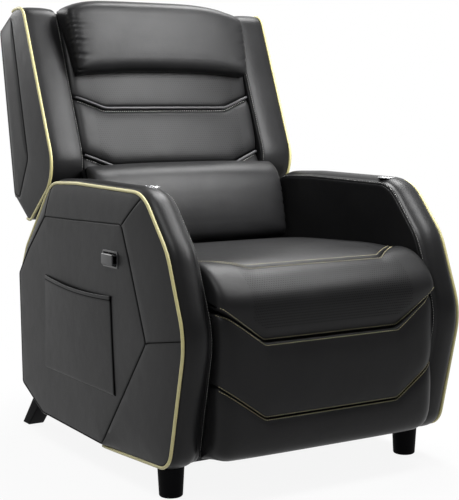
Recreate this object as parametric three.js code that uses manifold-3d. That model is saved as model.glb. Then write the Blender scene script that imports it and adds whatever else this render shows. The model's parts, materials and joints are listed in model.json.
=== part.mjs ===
// A gaming recliner: padded arms with a corded edge, a winged back with a head pillow
// and a lumbar pillow, a seat that glides on swing links and a footrest on a folding linkage.
// Millimetres, +Z up. The sitter faces -Y, so the sitter's right is -X.
import * as THREE from "three";
import { mergeVertices } from "three/addons/utils/BufferGeometryUtils.js";
import Module from "manifold-3d";

const wasm = await Module();
wasm.setup();

// Fits shared by all pieces
const seat_gap = 0.3; // between pieces that lie on each other
const pin_gap = 0.3; // between a pin and its hole
const overrun = 5; // how far a cut runs past the face it opens

// Arms
const seat_room = 562; // between the arms
const arm_front = -453;
const arm_depth = 792;
const arm_bottom = 60;
const arm_height = 569;
const arm_cord_plane = 71.4; // from an arm's inner face to the middle of its cord
const arm_panel_plane = 82; // from an arm's inner face to its raised outer panel
const arm_edge_radius = 12;
const arm_swell = 6; // how far the padding of an arm swells between its edges

// Back
const wing_front = 162.5;
const wing_depth = 304.5;
const wing_bottom = 518;
const wing_height = 516;
const wing_room = 504; // between the wings
const wing_cord_plane = 84.5; // from a wing's inner face to the middle of its cord
const wing_panel_plane = 89.7;
const wing_draw_in = 4; // how far a wing's outer face leans in toward its top
const wing_edge_radius = 12;
const wing_swell = 3;
const back_foot = { y: 108, z: 372 };
const back_lean = THREE.MathUtils.degToRad(18.7);
const back_top_z = 1018;
const back_rear_foot_y = 225;
const back_rear_lean = THREE.MathUtils.degToRad(14.2);
const back_crown = 17;
const lower_line = { z: 653, rise: 37 };
const upper_line = { z: 792, rise: 35 };

// Edge cord and its groove
const cord_radius = 3.5;
const cord_sides = 8;

// Seat
const seat_half = 278;
const seat_rear_y = 85;
const seat_front_line = { from_y: -400, draw: 28 };
const roll_bottom_z = 333;
const roll_inner_y = -397;
const seat_crown = 3;
const line_rise = 74; // how far the seams of the footrest and roll climb at the sides
const line_flat = 170; // half the level stretch of each seam
const line_full = 262; // where each seam has climbed fully

// Footrest
const foot_half = 278;
const foot_face_y = -466;
const foot_rear_y = -415;
const foot_bottom_z = 86;
const foot_line_z = 174;
const foot_top_gap = 9.6; // between the footrest and the roll above it
const foot_crown = 8;
const board_thick = 15;
const board_half = 250;
const board_bottom_z = 100;
const board_top_z = 320;

// Seat rails and recline pivot
const rail_inner = 234;
const rail_thick = 30;
const rail_bottom_z = 268;
const rail_top_z = 352;
const rail_front_y = -395;
const rail_rear_y = 245;
const recline_pivot = { y: 224, z: 330, pin: 8 };

// Swing links under the seat
const swing_length = 80;
const swing_lean = THREE.MathUtils.degToRad(16);
const swing_top_z = 285;
const swing_front_y = -230;
const swing_rear_y = 150;
const swing_thick = 4;
const swing_width = 22;
const swing_pin = 5;

// Footrest linkage, at its folded place
const link_plate = 4.4;
const link_width = 19;
const link_pin = 5;
const drive_pivot = { y: -190, z: 325 };
const drive_length = 225;
const drive_turn = THREE.MathUtils.degToRad(-92.07); // from straight ahead, upwards positive
const reach_length = 250;
const reach_turn = THREE.MathUtils.degToRad(36.83);
const reach_tail = 45; // from the knee back to the guide's eye
const guide_pivot = { y: -144.2, z: 300.9 };
const guide_play = 2.7; // clearance of the open eye that closes the linkage

// Release paddle in the right arm
const paddle_front_y = -197;
const paddle_rear_y = -146;
const paddle_low_z = 468.5;
const paddle_high_z = 491.5;
const paddle_proud = 12;
const bezel_rim = 4.5;
const bezel_rear_room = 9; // behind the paddle, where its end swings
const bezel_proud = 2.5;
const bezel_depth = 17;
const bezel_wall = 2.2;

// Pocket on the right arm
const pocket_rear_y = 170;
const pocket_front_y = -180;
const pocket_low_z = 188;
const pocket_high_z = 405;
const pocket_deep = 10;
const pocket_wall = 2;

// Legs and base rails
const front_leg_y = -328;
const leg_x = 310;
const front_leg_radius = 28;
const front_leg_foot_radius = 25;
const front_leg_sink = 12; // how far a front leg goes up into the arm
const rear_leg_width = 42;
const rear_leg_foot = { front: 376, rear: 413 };

const materials = {
  leather: new THREE.MeshStandardMaterial({ color: 0x1d1d1f, roughness: 0.5 }),
  cord: new THREE.MeshStandardMaterial({ color: 0xc4b878, roughness: 0.45 }),
  steel: new THREE.MeshStandardMaterial({ color: 0x2a2b2d, roughness: 0.45, metalness: 0.8 }),
  bright: new THREE.MeshStandardMaterial({ color: 0xc9cacc, roughness: 0.25, metalness: 1 }),
  plastic: new THREE.MeshStandardMaterial({ color: 0x18181a, roughness: 0.55 }),
  wood: new THREE.MeshStandardMaterial({ color: 0xb08a58, roughness: 0.7 }),
  webbing: new THREE.MeshStandardMaterial({ color: 0x39393b, roughness: 0.9 }),
};

const recliner = new THREE.Group();

function addNode(name, geometry, material) {
  const mesh = new THREE.Mesh(geometry, materials[material]);
  mesh.name = name;
  recliner.add(mesh);
}

// A point of a side view: y runs to the back, z up
function side(y, z) {
  return new THREE.Vector2(y, z);
}

function sideShares(shares, y, z, depth, height) {
  return shares.map(([along, up]) => side(y + along * depth, z + up * height));
}

// Solids and their joins
function solidOf(geometry) {
  const plain = new THREE.BufferGeometry();
  plain.setAttribute("position", geometry.getAttribute("position"));
  if (geometry.index) plain.setIndex(geometry.index);
  const merged = mergeVertices(plain, 1e-4);
  return new wasm.Manifold(
    new wasm.Mesh({
      numProp: 3,
      vertProperties: merged.attributes.position.array,
      triVerts: new Uint32Array(merged.index.array),
    }),
  );
}

function geometryOf(solid) {
  const mesh = solid.getMesh();
  const geometry = new THREE.BufferGeometry();
  geometry.setAttribute("position", new THREE.BufferAttribute(mesh.vertProperties, 3));
  geometry.setIndex(new THREE.BufferAttribute(mesh.triVerts, 1));
  geometry.computeVertexNormals();
  return geometry;
}

function join(...pieces) {
  return geometryOf(pieces.map(solidOf).reduce((all, piece) => all.add(piece)));
}

function cut(body, ...tools) {
  return geometryOf(tools.map(solidOf).reduce((all, tool) => all.subtract(tool), solidOf(body)));
}

// Signed area of a side outline
function areaOf(points) {
  return THREE.ShapeUtils.area(points);
}

// The corners of an outline turned into arcs of the given radii
function roundedOutline(corners, radii, steps = 3) {
  return corners.flatMap((corner, i) => {
    const before = corners[(i + corners.length - 1) % corners.length];
    const after = corners[(i + 1) % corners.length];
    const back = before.clone().sub(corner);
    const ahead = after.clone().sub(corner);
    const half = Math.abs(back.angleTo(ahead)) / 2;
    const reach = Math.min(radii[i] / Math.tan(half), back.length() * 0.48, ahead.length() * 0.48);
    const radius = reach * Math.tan(half);
    const from = corner.clone().addScaledVector(back.normalize(), reach);
    const middle = back.clone().add(ahead.normalize()).normalize();
    const centre = corner.clone().addScaledVector(middle, radius / Math.sin(half));
    const start = from.sub(centre);
    const turn = (Math.PI - 2 * half) * Math.sign(back.cross(ahead));
    return Array.from({ length: steps + 1 }, (_, k) =>
      start.clone().rotateAround(side(0, 0), (-turn * k) / steps).add(centre),
    );
  });
}

// An outline moved inwards at each of its points
function inset(points, amountAt) {
  const turn = Math.sign(areaOf(points));
  return points.map((point, i) => {
    const back = point.clone().sub(points[(i + points.length - 1) % points.length]).normalize();
    const ahead = points[(i + 1) % points.length].clone().sub(point).normalize();
    const along = back.clone().add(ahead).normalize();
    const miter = Math.max(along.dot(ahead), 0.5);
    const inward = side(-along.y, along.x).multiplyScalar((turn * amountAt(i)) / miter);
    return point.clone().add(inward);
  });
}

function ringAt(x, points) {
  return points.map((point) => new THREE.Vector3(x, point.x, point.y));
}

// A closed solid through rings of equal counts, each ring a closed loop round the x direction
function loft(rings) {
  const count = rings[0].length;
  const positions = rings.flat();
  const index = [];
  for (let ring = 0; ring < rings.length - 1; ring++) {
    for (let k = 0; k < count; k++) {
      const next = (k + 1) % count;
      const a = ring * count + k;
      const b = ring * count + next;
      index.push(a, b, a + count, b, b + count, a + count);
    }
  }
  [0, rings.length - 1].forEach((ring, end) => {
    const flat = rings[ring].map((p) => side(p.y, p.z));
    const turn = Math.sign(areaOf(flat));
    capFaces(flat).forEach((face) => {
      const same = Math.sign(areaOf(face.map((k) => flat[k]))) === turn;
      const [a, b, c] = face.map((k) => ring * count + k);
      const forward = same === (end === 1);
      index.push(...(forward ? [a, b, c] : [a, c, b]));
    });
  });
  const geometry = new THREE.BufferGeometry().setFromPoints(positions);
  geometry.setIndex(index);
  const volume = signedVolume(positions, index);
  if (volume < 0) geometry.setIndex(index.reverse());
  geometry.computeVertexNormals();
  return geometry;
}

// The faces of a cap, with the points of straight runs put back where they were left out
function capFaces(flat) {
  const faces = THREE.ShapeUtils.triangulateShape(flat, []);
  const used = new Set(faces.flat());
  const count = flat.length;
  for (let k = 0; k < count; k++) {
    if (used.has(k)) continue;
    let before = (k + count - 1) % count;
    let after = (k + 1) % count;
    while (!used.has(before)) before = (before + count - 1) % count;
    while (!used.has(after)) after = (after + 1) % count;
    const split = faces.findIndex((face) => face.includes(before) && face.includes(after));
    const [face] = faces.splice(split, 1);
    const swap = (from) => face.map((point) => (point === from ? k : point));
    faces.push(swap(before), swap(after));
    used.add(k);
  }
  return faces;
}

function signedVolume(positions, index) {
  let volume = 0;
  for (let i = 0; i < index.length; i += 3) {
    const [a, b, c] = [positions[index[i]], positions[index[i + 1]], positions[index[i + 2]]];
    volume += a.dot(b.clone().cross(c)) / 6;
  }
  return volume;
}

// A side outline as a straight bar from one x to another, with its long edges eased
function bar(points, x_from, x_to, ease = 0) {
  if (!ease) return loft([ringAt(x_from, points), ringAt(x_to, points)]);
  const small = inset(points, () => ease);
  const step = Math.sign(x_to - x_from) * ease;
  return loft([
    ringAt(x_from, small),
    ringAt(x_from + step, points),
    ringAt(x_to - step, points),
    ringAt(x_to, small),
  ]);
}

function boxOutline(y_from, y_to, z_from, z_to, radius = 0) {
  const corners = [side(y_from, z_from), side(y_to, z_from), side(y_to, z_to), side(y_from, z_to)];
  return radius ? roundedOutline(corners, [radius, radius, radius, radius]) : corners;
}

function box(x_from, x_to, y_from, y_to, z_from, z_to) {
  return bar(boxOutline(y_from, y_to, z_from, z_to), x_from, x_to);
}

// A round bar along x
function roundBar(x_from, x_to, centre, radius, sides = 16) {
  const points = Array.from({ length: sides }, (_, k) => {
    const angle = (2 * Math.PI * (k + 0.5)) / sides;
    return side(centre.y + radius * Math.cos(angle), centre.z + radius * Math.sin(angle));
  });
  return bar(points, x_from, x_to);
}

// A flat link with round ends and an eye at each hole, lying across x
function linkPlate(from, to, width, x_from, x_to, holes) {
  const half = width / 2;
  const along = side(to.y - from.y, to.z - from.z);
  const angle = along.angle();
  const outline = new THREE.Shape();
  outline.absarc(from.y, from.z, half, angle + Math.PI / 2, angle + 1.5 * Math.PI, false);
  outline.absarc(to.y, to.z, half, angle - Math.PI / 2, angle + Math.PI / 2, false);
  for (const hole of holes) {
    const path = new THREE.Path();
    path.absarc(hole.y, hole.z, hole.radius, 0, 2 * Math.PI, true);
    outline.holes.push(path);
  }
  return plate(outline, x_from, x_to);
}

// A drawn side shape as a plate across x
function plate(shape, x_from, x_to) {
  const low = Math.min(x_from, x_to);
  const depth = Math.abs(x_to - x_from);
  const geometry = new THREE.ExtrudeGeometry(shape, { depth, bevelEnabled: false, curveSegments: 7 });
  const turn = new THREE.Matrix4().makeBasis(
    new THREE.Vector3(0, 1, 0),
    new THREE.Vector3(0, 0, 1),
    new THREE.Vector3(1, 0, 0),
  );
  return geometry.applyMatrix4(turn).translate(low, 0, 0);
}

// A path whose corners are kept exactly when a tube follows it
class CornerPath extends THREE.Curve {
  constructor(points) {
    super();
    this.points = points;
  }

  getPoint(t, target = new THREE.Vector3()) {
    const last = this.points.length - 1;
    const place = THREE.MathUtils.clamp(t, 0, 1) * last;
    const from = Math.min(Math.floor(place), last - 1);
    return target.lerpVectors(this.points[from], this.points[from + 1], place - from);
  }

  getUtoTmapping(u) {
    return u;
  }
}

function tube(points, radius, sides) {
  const round = new THREE.Shape();
  for (let k = 0; k < sides; k++) {
    const angle = (2 * Math.PI * (k + 0.5)) / sides;
    if (k === 0) round.moveTo(radius * Math.cos(angle), radius * Math.sin(angle));
    else round.lineTo(radius * Math.cos(angle), radius * Math.sin(angle));
  }
  round.closePath();
  return new THREE.ExtrudeGeometry(round, {
    steps: points.length - 1,
    extrudePath: new CornerPath(points),
    bevelEnabled: false,
  });
}

// A padded block of an arm or a wing: a rounded inner edge, a groove for the edge cord
// and a panel that stands out of the outer face
const corner_steps = 3;
const ease_steps = 3;
const groove_depth = cord_radius + seat_gap;

// The corner that a point of a rounded outline belongs to
function cornerOf(i) {
  return Math.floor(i / (corner_steps + 1));
}

function paddedBlock(form, sign) {
  const radii = form.radii;
  const outline = roundedOutline(form.corners, radii, corner_steps);
  const panel = roundedOutline(form.panel, form.panel_radii, corner_steps);
  const rings = [];
  for (let k = 0; k <= ease_steps; k++) {
    const angle = (Math.PI / 2) * (k / ease_steps);
    const fall = form.edge_radius * (1 - Math.sin(angle));
    const out = form.edge_radius * (1 - Math.cos(angle));
    const points = inset(outline, (i) => fall * form.soft_shares[cornerOf(i)]);
    rings.push(ringAt(sign * (form.inner + out), points));
  }
  const groove_wall = form.inner + form.cord_plane - groove_depth;
  const floor = inset(outline, (i) => (form.corded[cornerOf(i)] ? groove_depth : 0));
  const swollen = inset(outline, (i) => -form.swell * form.swell_shares[cornerOf(i)]);
  const panel_edge = form.inner + form.cord_plane + cord_radius / 2;
  rings.push(ringAt(sign * (form.inner + (form.edge_radius + groove_wall - form.inner) / 2), swollen));
  rings.push(ringAt(sign * groove_wall, outline));
  rings.push(ringAt(sign * (groove_wall + seat_gap), floor));
  rings.push(ringAt(sign * panel_edge, floor));
  rings.push(ringAt(sign * (form.inner + form.panel_plane), panel));
  return loft(rings.map((ring) => drawnIn(ring, form, sign)));
}

// The outer part of a wing leans in toward its top, its inner face stays upright
function drawnIn(ring, form, sign) {
  if (!form.draw_in) return ring;
  const heights = form.corners.map((corner) => corner.y);
  const low = Math.min(...heights);
  const rise = Math.max(...heights) - low;
  return ring.map((point) => {
    const outward = (Math.abs(point.x) - form.inner) / form.panel_plane;
    const shift = form.draw_in * outward * ((point.z - low) / rise);
    return new THREE.Vector3(point.x - sign * shift, point.y, point.z);
  });
}

function edgeCord(form, sign) {
  const outline = roundedOutline(form.corners, form.radii, corner_steps);
  const first = form.corded.findIndex((on, i) => on && !form.corded.at(i - 1));
  const start = first * (corner_steps + 1);
  const count = form.corded.filter((on) => on).length * (corner_steps + 1);
  const kept = Array.from({ length: count }, (_, i) => outline[(start + i) % outline.length]);
  const x = sign * (form.inner + form.cord_plane + seat_gap);
  return tube(drawnIn(ringAt(x, kept), form, sign), cord_radius, cord_sides);
}

// Arm outline, from the rear foot up, over the top and down the front
const arm_outline_shares = [
  [0.98, 0.108],
  [0.993, 0.583],
  [0.945, 0.71],
  [0.76, 0.99],
  [0.596, 1],
  [0.2, 0.995],
  [0.0745, 0.798],
  [-0.009, 0.504],
  [0.071, 0.028],
  [0.33, 0.007],
  [0.427, 0],
  [0.823, 0.0105],
];
const arm_panel_shares = [
  [0.97, 0.12],
  [0.981, 0.591],
  [0.907, 0.701],
  [0.785, 0.851],
  [0.596, 0.858],
  [0.298, 0.872],
  [0.241, 0.698],
  [0.168, 0.462],
  [0.298, 0.236],
  [0.39, 0.078],
  [0.427, 0.014],
  [0.823, 0.025],
];
const arm_radii = [18, 30, 60, 80, 300, 45, 80, 150, 50, 60, 60, 40];
const arm_panel_radii = [12, 12, 20, 15, 200, 18, 60, 14, 60, 20, 15, 40];
const arm_soft_shares = [0.3, 0.6, 1, 1, 1, 1, 1, 1, 0.6, 0.3, 0.25, 0.25];
const arm_swell_shares = [0, 0.5, 0.9, 1, 1, 1.1, 1.35, 1.35, 0.7, 0, 0, 0];
const arm_corded = [false, true, true, true, true, true, true, true, true, true, true, false];
const arm_inner = seat_room / 2;
const arm_form = {
  corners: sideShares(arm_outline_shares, arm_front, arm_bottom, arm_depth, arm_height),
  panel: sideShares(arm_panel_shares, arm_front, arm_bottom, arm_depth, arm_height),
  radii: arm_radii,
  panel_radii: arm_panel_radii,
  soft_shares: arm_soft_shares,
  swell_shares: arm_swell_shares,
  corded: arm_corded,
  inner: arm_inner,
  cord_plane: arm_cord_plane,
  panel_plane: arm_panel_plane,
  edge_radius: arm_edge_radius,
  swell: arm_swell,
  draw_in: 0,
};
const arm_outer = arm_inner + arm_panel_plane;
const arm_top_z = arm_bottom + arm_height * arm_outline_shares[4][1];

// Wing outline, from the rear of the top clockwise down the rear and up the front
const wing_outline_shares = [
  [0.708, 0.994],
  [1, 0.905],
  [0.77, 0.107],
  [0.504, 0],
  [0, 0.236],
  [0.544, 1],
];
const wing_panel_shares = [
  [0.76, 0.955],
  [0.965, 0.89],
  [0.755, 0.125],
  [0.66, 0.115],
  [0.475, 0.3],
  [0.735, 0.93],
];
const wing_inner = wing_room / 2;
const wing_form = {
  corners: sideShares(wing_outline_shares, wing_front, wing_bottom, wing_depth, wing_height),
  panel: sideShares(wing_panel_shares, wing_front, wing_bottom, wing_depth, wing_height),
  radii: [30, 15, 20, 25, 87, 55],
  panel_radii: [15, 12, 15, 8, 30, 12],
  soft_shares: [0.6, 0.4, 0.4, 0.8, 1, 1],
  swell_shares: [0.5, 0, 0, 0.5, 1, 1],
  corded: [true, false, false, true, true, true],
  inner: wing_inner,
  cord_plane: wing_cord_plane,
  panel_plane: wing_panel_plane,
  edge_radius: wing_edge_radius,
  swell: wing_swell,
  draw_in: wing_draw_in,
};

// The height gained by a seam at a distance from the middle
function seamRise(x, rise) {
  return rise * THREE.MathUtils.clamp((Math.abs(x) - line_flat) / (line_full - line_flat), 0, 1);
}

// A cushion as sections across x: a face of crowned zones between seams and a plain back
const station_shares = [0, 0.22, 0.42, 0.61, 0.78, 0.9, 0.96, 1];
const zone_shares = [0, 0.07, 0.2, 0.4, 0.6, 0.8, 0.93, 1];

function stations(half) {
  const right = station_shares.slice(1).map((share) => -share * half);
  return [...right.reverse(), ...station_shares.map((share) => share * half)];
}

// How far a face falls back within the rounded end of a cushion
function endFall(x, half, radius) {
  const into = Math.max(0, (Math.abs(x) - (half - radius)) / radius);
  return radius * (1 - Math.sqrt(Math.max(0, 1 - into * into)));
}

function cushion(form) {
  const rings = stations(form.half).map((x) => {
    const lines = form.linesAt(x);
    const fall = endFall(x, form.half, form.end_radius) * form.end_share;
    const across = 1 - (x / form.half) ** 4;
    const face = [];
    const depth_places = [];
    for (let zone = 0; zone < lines.length - 1; zone++) {
      zone_shares.forEach((share, k) => {
        if (zone > 0 && k === 0) return;
        const along = THREE.MathUtils.lerp(lines[zone], lines[zone + 1], share);
        const swell = form.crowns[zone] * (1 - Math.abs(2 * share - 1) ** form.power);
        const { point, outward } = form.baseAt(along);
        face.push(point.clone().addScaledVector(outward, swell * form.swellAt(x) + across * form.bow - fall));
        depth_places.push((zone + share) / (lines.length - 1));
      });
    }
    const back = form.backAt(x, face);
    const drawn = face.map((_, k) => form.draw * Math.sin(Math.PI * depth_places[k]));
    const pull = Math.abs(x / form.half) ** 8;
    const ring = ringAt(x, [...face, ...back]);
    drawn.forEach((inwards, k) => {
      ring[k].x -= Math.sign(x) * inwards * pull;
    });
    return ring;
  });
  return loft(rings);
}

// A straight leaning base for a cushion: from a foot point, leaning back
function leaningBase(foot, lean, offset) {
  const along = side(Math.sin(lean), Math.cos(lean));
  const outward = side(-Math.cos(lean), Math.sin(lean));
  const start = foot.clone().addScaledVector(outward, offset);
  return (distance) => ({ point: start.clone().addScaledVector(along, distance), outward });
}

// A curved base for a cushion, followed by its own length
function curvedBase(points) {
  const curve = new THREE.SplineCurve(points);
  const length = curve.getLength();
  const at = (distance) => {
    const u = THREE.MathUtils.clamp(distance / length, 0, 1);
    const tangent = curve.getTangentAt(u);
    return { point: curve.getPointAt(u), outward: side(tangent.y, -tangent.x) };
  };
  const whereY = (y) => {
    let low = 0;
    let high = length;
    for (let k = 0; k < 30; k++) {
      const middle = (low + high) / 2;
      if (at(middle).point.x > y) low = middle;
      else high = middle;
    }
    return low;
  };
  const whereZ = (z) => {
    let low = 0;
    let high = length;
    for (let k = 0; k < 30; k++) {
      const middle = (low + high) / 2;
      if (at(middle).point.y > z) low = middle;
      else high = middle;
    }
    return low;
  };
  return { at, whereY, whereZ, length };
}

// Arms with what they carry
const arm_leg_hole = front_leg_radius + seat_gap;
const front_leg_top = arm_bottom + front_leg_sink;
const bezel_front_y = paddle_front_y - bezel_rim;
const bezel_rear_y = paddle_rear_y + bezel_rear_room;
const bezel_low_z = paddle_low_z - bezel_rim;
const bezel_high_z = paddle_high_z + bezel_rim;
const bezel_lip = 2; // how far the rim covers the leather round its cup

function legAxisHole(sign) {
  const hole = new THREE.CylinderGeometry(arm_leg_hole, arm_leg_hole, front_leg_top + overrun, 24);
  hole.rotateX(Math.PI / 2);
  hole.translate(sign * leg_x, front_leg_y, (front_leg_top + seat_gap - overrun) / 2);
  return hole;
}

function armSolid(sign) {
  const block = paddedBlock(arm_form, sign);
  const tools = [legAxisHole(sign)];
  if (sign < 0) {
    const floor = -(arm_outer - bezel_depth - bezel_wall - seat_gap);
    tools.push(
      box(
        -(arm_outer + overrun),
        floor,
        bezel_front_y - seat_gap,
        bezel_rear_y + seat_gap,
        bezel_low_z - seat_gap,
        bezel_high_z + seat_gap,
      ),
    );
  }
  return cut(block, ...tools);
}

// Round badge on top of each arm
const badge_radius = 20;
const badge_thick = 2.4;
const badge_y = -250;
const badge_ease = 1;

// The height of a closed side outline's top at a place along it
function topAt(points, y) {
  const heights = points.flatMap((from, i) => {
    const to = points[(i + 1) % points.length];
    const share = (y - from.x) / (to.x - from.x);
    return share >= 0 && share <= 1 ? [THREE.MathUtils.lerp(from.y, to.y, share)] : [];
  });
  return Math.max(...heights);
}

function badge(sign) {
  const profile = [
    side(0, 0),
    side(badge_radius, 0),
    side(badge_radius, badge_thick - badge_ease),
    side(badge_radius - badge_ease, badge_thick),
    side(0, badge_thick),
  ];
  const disc = new THREE.LatheGeometry(profile, 28);
  disc.rotateX(Math.PI / 2);
  const outline = roundedOutline(arm_form.corners, arm_radii, corner_steps);
  const padded = inset(outline, (i) => -arm_swell * arm_swell_shares[cornerOf(i)]);
  const ends = [badge_y - badge_radius, badge_y + badge_radius];
  const z = Math.max(...ends.map((y) => topAt(padded, y))) + seat_gap;
  return disc.translate(sign * leg_x, badge_y, z);
}

function frontLeg(sign) {
  const ease = 4;
  const height = front_leg_top;
  const profile = [
    side(0, 0),
    side(front_leg_foot_radius - ease, 0),
    side(front_leg_foot_radius - ease / 3, ease / 3),
    side(front_leg_foot_radius, ease),
    side(front_leg_radius, arm_bottom),
    side(front_leg_radius, height),
    side(0, height),
  ];
  const leg = new THREE.LatheGeometry(profile, 24);
  leg.rotateX(Math.PI / 2);
  return leg.translate(sign * leg_x, front_leg_y, 0);
}

// The raked rear leg seats on the sloping rear end of the arm's underside
function rearLeg(sign) {
  const [rear_foot, under] = [arm_form.corners[0], arm_form.corners.at(-1)];
  const slope = rear_foot.clone().sub(under).normalize();
  const down = side(slope.y, -slope.x);
  const seatAt = (distance) =>
    under.clone().addScaledVector(slope, distance).addScaledVector(down, seat_gap);
  const seat_length = rear_foot.distanceTo(under);
  const rear_leg_seat_share = 0.9;
  const rear = seatAt(seat_length * rear_leg_seat_share);
  const front = seatAt(seat_length * rear_leg_seat_share - rear_leg_width);
  const corners = [side(rear_leg_foot.front, 0), side(rear_leg_foot.rear, 0), rear, front];
  const outer = leg_x + rear_leg_width / 3;
  return bar(corners, sign * outer, sign * (outer - rear_leg_width), 2);
}

// Cup with a rim in the arm for the paddle, open outwards
const cup_mouth = -(arm_outer + bezel_proud);
const cup_floor = -(arm_outer - bezel_depth);
const paddle_pivot = { x: -(arm_outer - 5), y: paddle_rear_y - 5 };
const paddle_pin_radius = 2;
const paddle_wall = 3.5;
const paddle_root = 14; // solid end of the paddle round its pin

function bezel() {
  const rim = boxOutline(
    bezel_front_y - bezel_lip,
    bezel_rear_y + bezel_lip,
    bezel_low_z - bezel_lip,
    bezel_high_z + bezel_lip,
    4,
  );
  const lip = bar(rim, cup_mouth, -(arm_outer + seat_gap));
  const cup = box(
    -(arm_outer + bezel_proud / 2),
    cup_floor + bezel_wall,
    bezel_front_y,
    bezel_rear_y,
    bezel_low_z,
    bezel_high_z,
  );
  const hollow = box(
    cup_mouth - overrun,
    cup_floor,
    bezel_front_y + bezel_wall,
    bezel_rear_y - bezel_wall,
    bezel_low_z + bezel_wall,
    bezel_high_z - bezel_wall,
  );
  return cut(join(lip, cup), hollow);
}

function uprightPin(x, y, z_from, z_to, radius) {
  const pin = new THREE.CylinderGeometry(radius, radius, z_to - z_from, 12);
  return pin.rotateX(Math.PI / 2).translate(x, y, (z_from + z_to) / 2);
}

function paddle() {
  const face = -(arm_outer + paddle_proud);
  const inner = -(arm_outer - 2);
  const grip = bar(
    boxOutline(paddle_front_y, paddle_rear_y, paddle_low_z, paddle_high_z, 2.5),
    face,
    inner,
    1.2,
  );
  const scoop = box(
    face + paddle_wall,
    inner + overrun,
    paddle_front_y - overrun,
    paddle_rear_y - paddle_root,
    paddle_low_z + paddle_wall,
    paddle_high_z - paddle_wall,
  );
  const knuckle = uprightPin(paddle_pivot.x, paddle_pivot.y, paddle_low_z, paddle_high_z, 4.5);
  const hole = uprightPin(
    paddle_pivot.x,
    paddle_pivot.y,
    paddle_low_z - overrun,
    paddle_high_z + overrun,
    paddle_pin_radius + pin_gap,
  );
  return cut(join(cut(grip, scoop), knuckle), hole);
}

function pocket() {
  const inner = -(arm_outer + seat_gap);
  const outer = -(arm_outer + pocket_deep);
  const shell = bar(
    roundedOutline(
      [
        side(pocket_rear_y, pocket_low_z),
        side(pocket_rear_y, pocket_high_z),
        side(pocket_front_y + 7, pocket_high_z),
        side(pocket_front_y - 7, pocket_low_z),
      ],
      [10, 2, 2, 10],
    ),
    inner,
    outer,
    1,
  );
  const hollow = box(
    inner + overrun,
    outer + pocket_wall,
    pocket_front_y + 7 + pocket_wall,
    pocket_rear_y - pocket_wall,
    pocket_low_z + pocket_wall,
    pocket_high_z + overrun,
  );
  return cut(shell, hollow);
}

for (const [hand, sign] of [["right", -1], ["left", 1]]) {
  addNode(`arm_${hand}`, armSolid(sign), "leather");
  addNode(`arm_cord_${hand}`, edgeCord(arm_form, sign), "cord");
  addNode(`arm_badge_${hand}`, badge(sign), "bright");
  addNode(`front_leg_${hand}`, frontLeg(sign), "plastic");
  addNode(`rear_leg_${hand}`, rearLeg(sign), "plastic");
}
addNode("side_pocket", pocket(), "leather");
addNode("paddle_bezel", bezel(), "plastic");
addNode("release_paddle", paddle(), "plastic");
addNode(
  "paddle_pin",
  uprightPin(
    paddle_pivot.x,
    paddle_pivot.y,
    bezel_low_z + bezel_wall + seat_gap,
    bezel_high_z - bezel_wall - seat_gap,
    paddle_pin_radius,
  ),
  "steel",
);

// Rails of the base between the arms
const base_rail_half = arm_inner - seat_gap;
const base_front_rail = { y: -358, depth: 36, z: 72, height: 24 };
const base_rear_rail = { y: 150, depth: 40, z: 76, height: 40 };

function crossRail(rail, half) {
  const points = boxOutline(rail.y, rail.y + rail.depth, rail.z, rail.z + rail.height, 3);
  return bar(points, -half, half);
}

addNode("base_front_rail", crossRail(base_front_rail, base_rail_half), "wood");
addNode("base_rear_rail", crossRail(base_rear_rail, base_rail_half), "wood");

// Side plates on the arms' inner faces, with a boss and a pin at each lower swing pivot
const base_plate_thick = 4;
const base_plate_low_z = 178;
const base_plate_high_z = 238;
const base_plate_end = 26; // beyond the pivots
const boss_radius = 9;
const rail_outer = rail_inner + rail_thick;
const swing_inner = rail_outer + 1;
const swing_drop = swing_length * Math.cos(swing_lean);
const swing_step = swing_length * Math.sin(swing_lean);
const swing_pairs = [
  ["front", { y: swing_front_y, z: swing_top_z }],
  ["rear", { y: swing_rear_y, z: swing_top_z }],
].map(([place, top]) => ({
  place,
  top,
  foot: { y: top.y - swing_step, z: top.z - swing_drop },
}));

function basePlate(sign) {
  const outer = arm_inner - seat_gap;
  const inner = outer - base_plate_thick;
  const [front, rear] = swing_pairs;
  const outline = boxOutline(
    front.foot.y - base_plate_end,
    rear.foot.y + base_plate_end,
    base_plate_low_z,
    base_plate_high_z,
    12,
  );
  const pieces = [bar(outline, sign * inner, sign * outer)];
  for (const pair of swing_pairs) {
    const boss_face = swing_inner + swing_thick + seat_gap;
    const pin_face = rail_outer + seat_gap;
    pieces.push(roundBar(sign * boss_face, sign * (inner + 1), pair.foot, boss_radius));
    pieces.push(roundBar(sign * pin_face, sign * (boss_face + 1), pair.foot, swing_pin));
  }
  return join(...pieces);
}

for (const [hand, sign] of [["right", -1], ["left", 1]]) {
  addNode(`base_plate_${hand}`, basePlate(sign), "steel");
  for (const pair of swing_pairs) {
    const eyes = [pair.top, pair.foot].map((eye) => ({ ...eye, radius: swing_pin + pin_gap }));
    const x_inner = sign * swing_inner;
    const x_outer = sign * (swing_inner + swing_thick);
    const link = linkPlate(pair.foot, pair.top, swing_width, x_inner, x_outer, eyes);
    addNode(`swing_link_${pair.place}_${hand}`, link, "steel");
  }
}

// Places of the folded footrest linkage, in side view
function ahead(from, length, turn) {
  return { y: from.y - length * Math.cos(turn), z: from.z + length * Math.sin(turn) };
}

const knee = ahead(drive_pivot, drive_length, drive_turn);
const foot_pivot = ahead(knee, reach_length, reach_turn);
const tail_eye = ahead(knee, -reach_tail, reach_turn);

// Layers of the linkage, from the rail inwards
const plane_gap = 0.5;
const drive_layer = [rail_inner - plane_gap - link_plate, rail_inner - plane_gap];
const reach_layer = drive_layer.map((x) => x - link_plate - plane_gap);
const bracket_layer = reach_layer.map((x) => x - link_plate - plane_gap);

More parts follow.
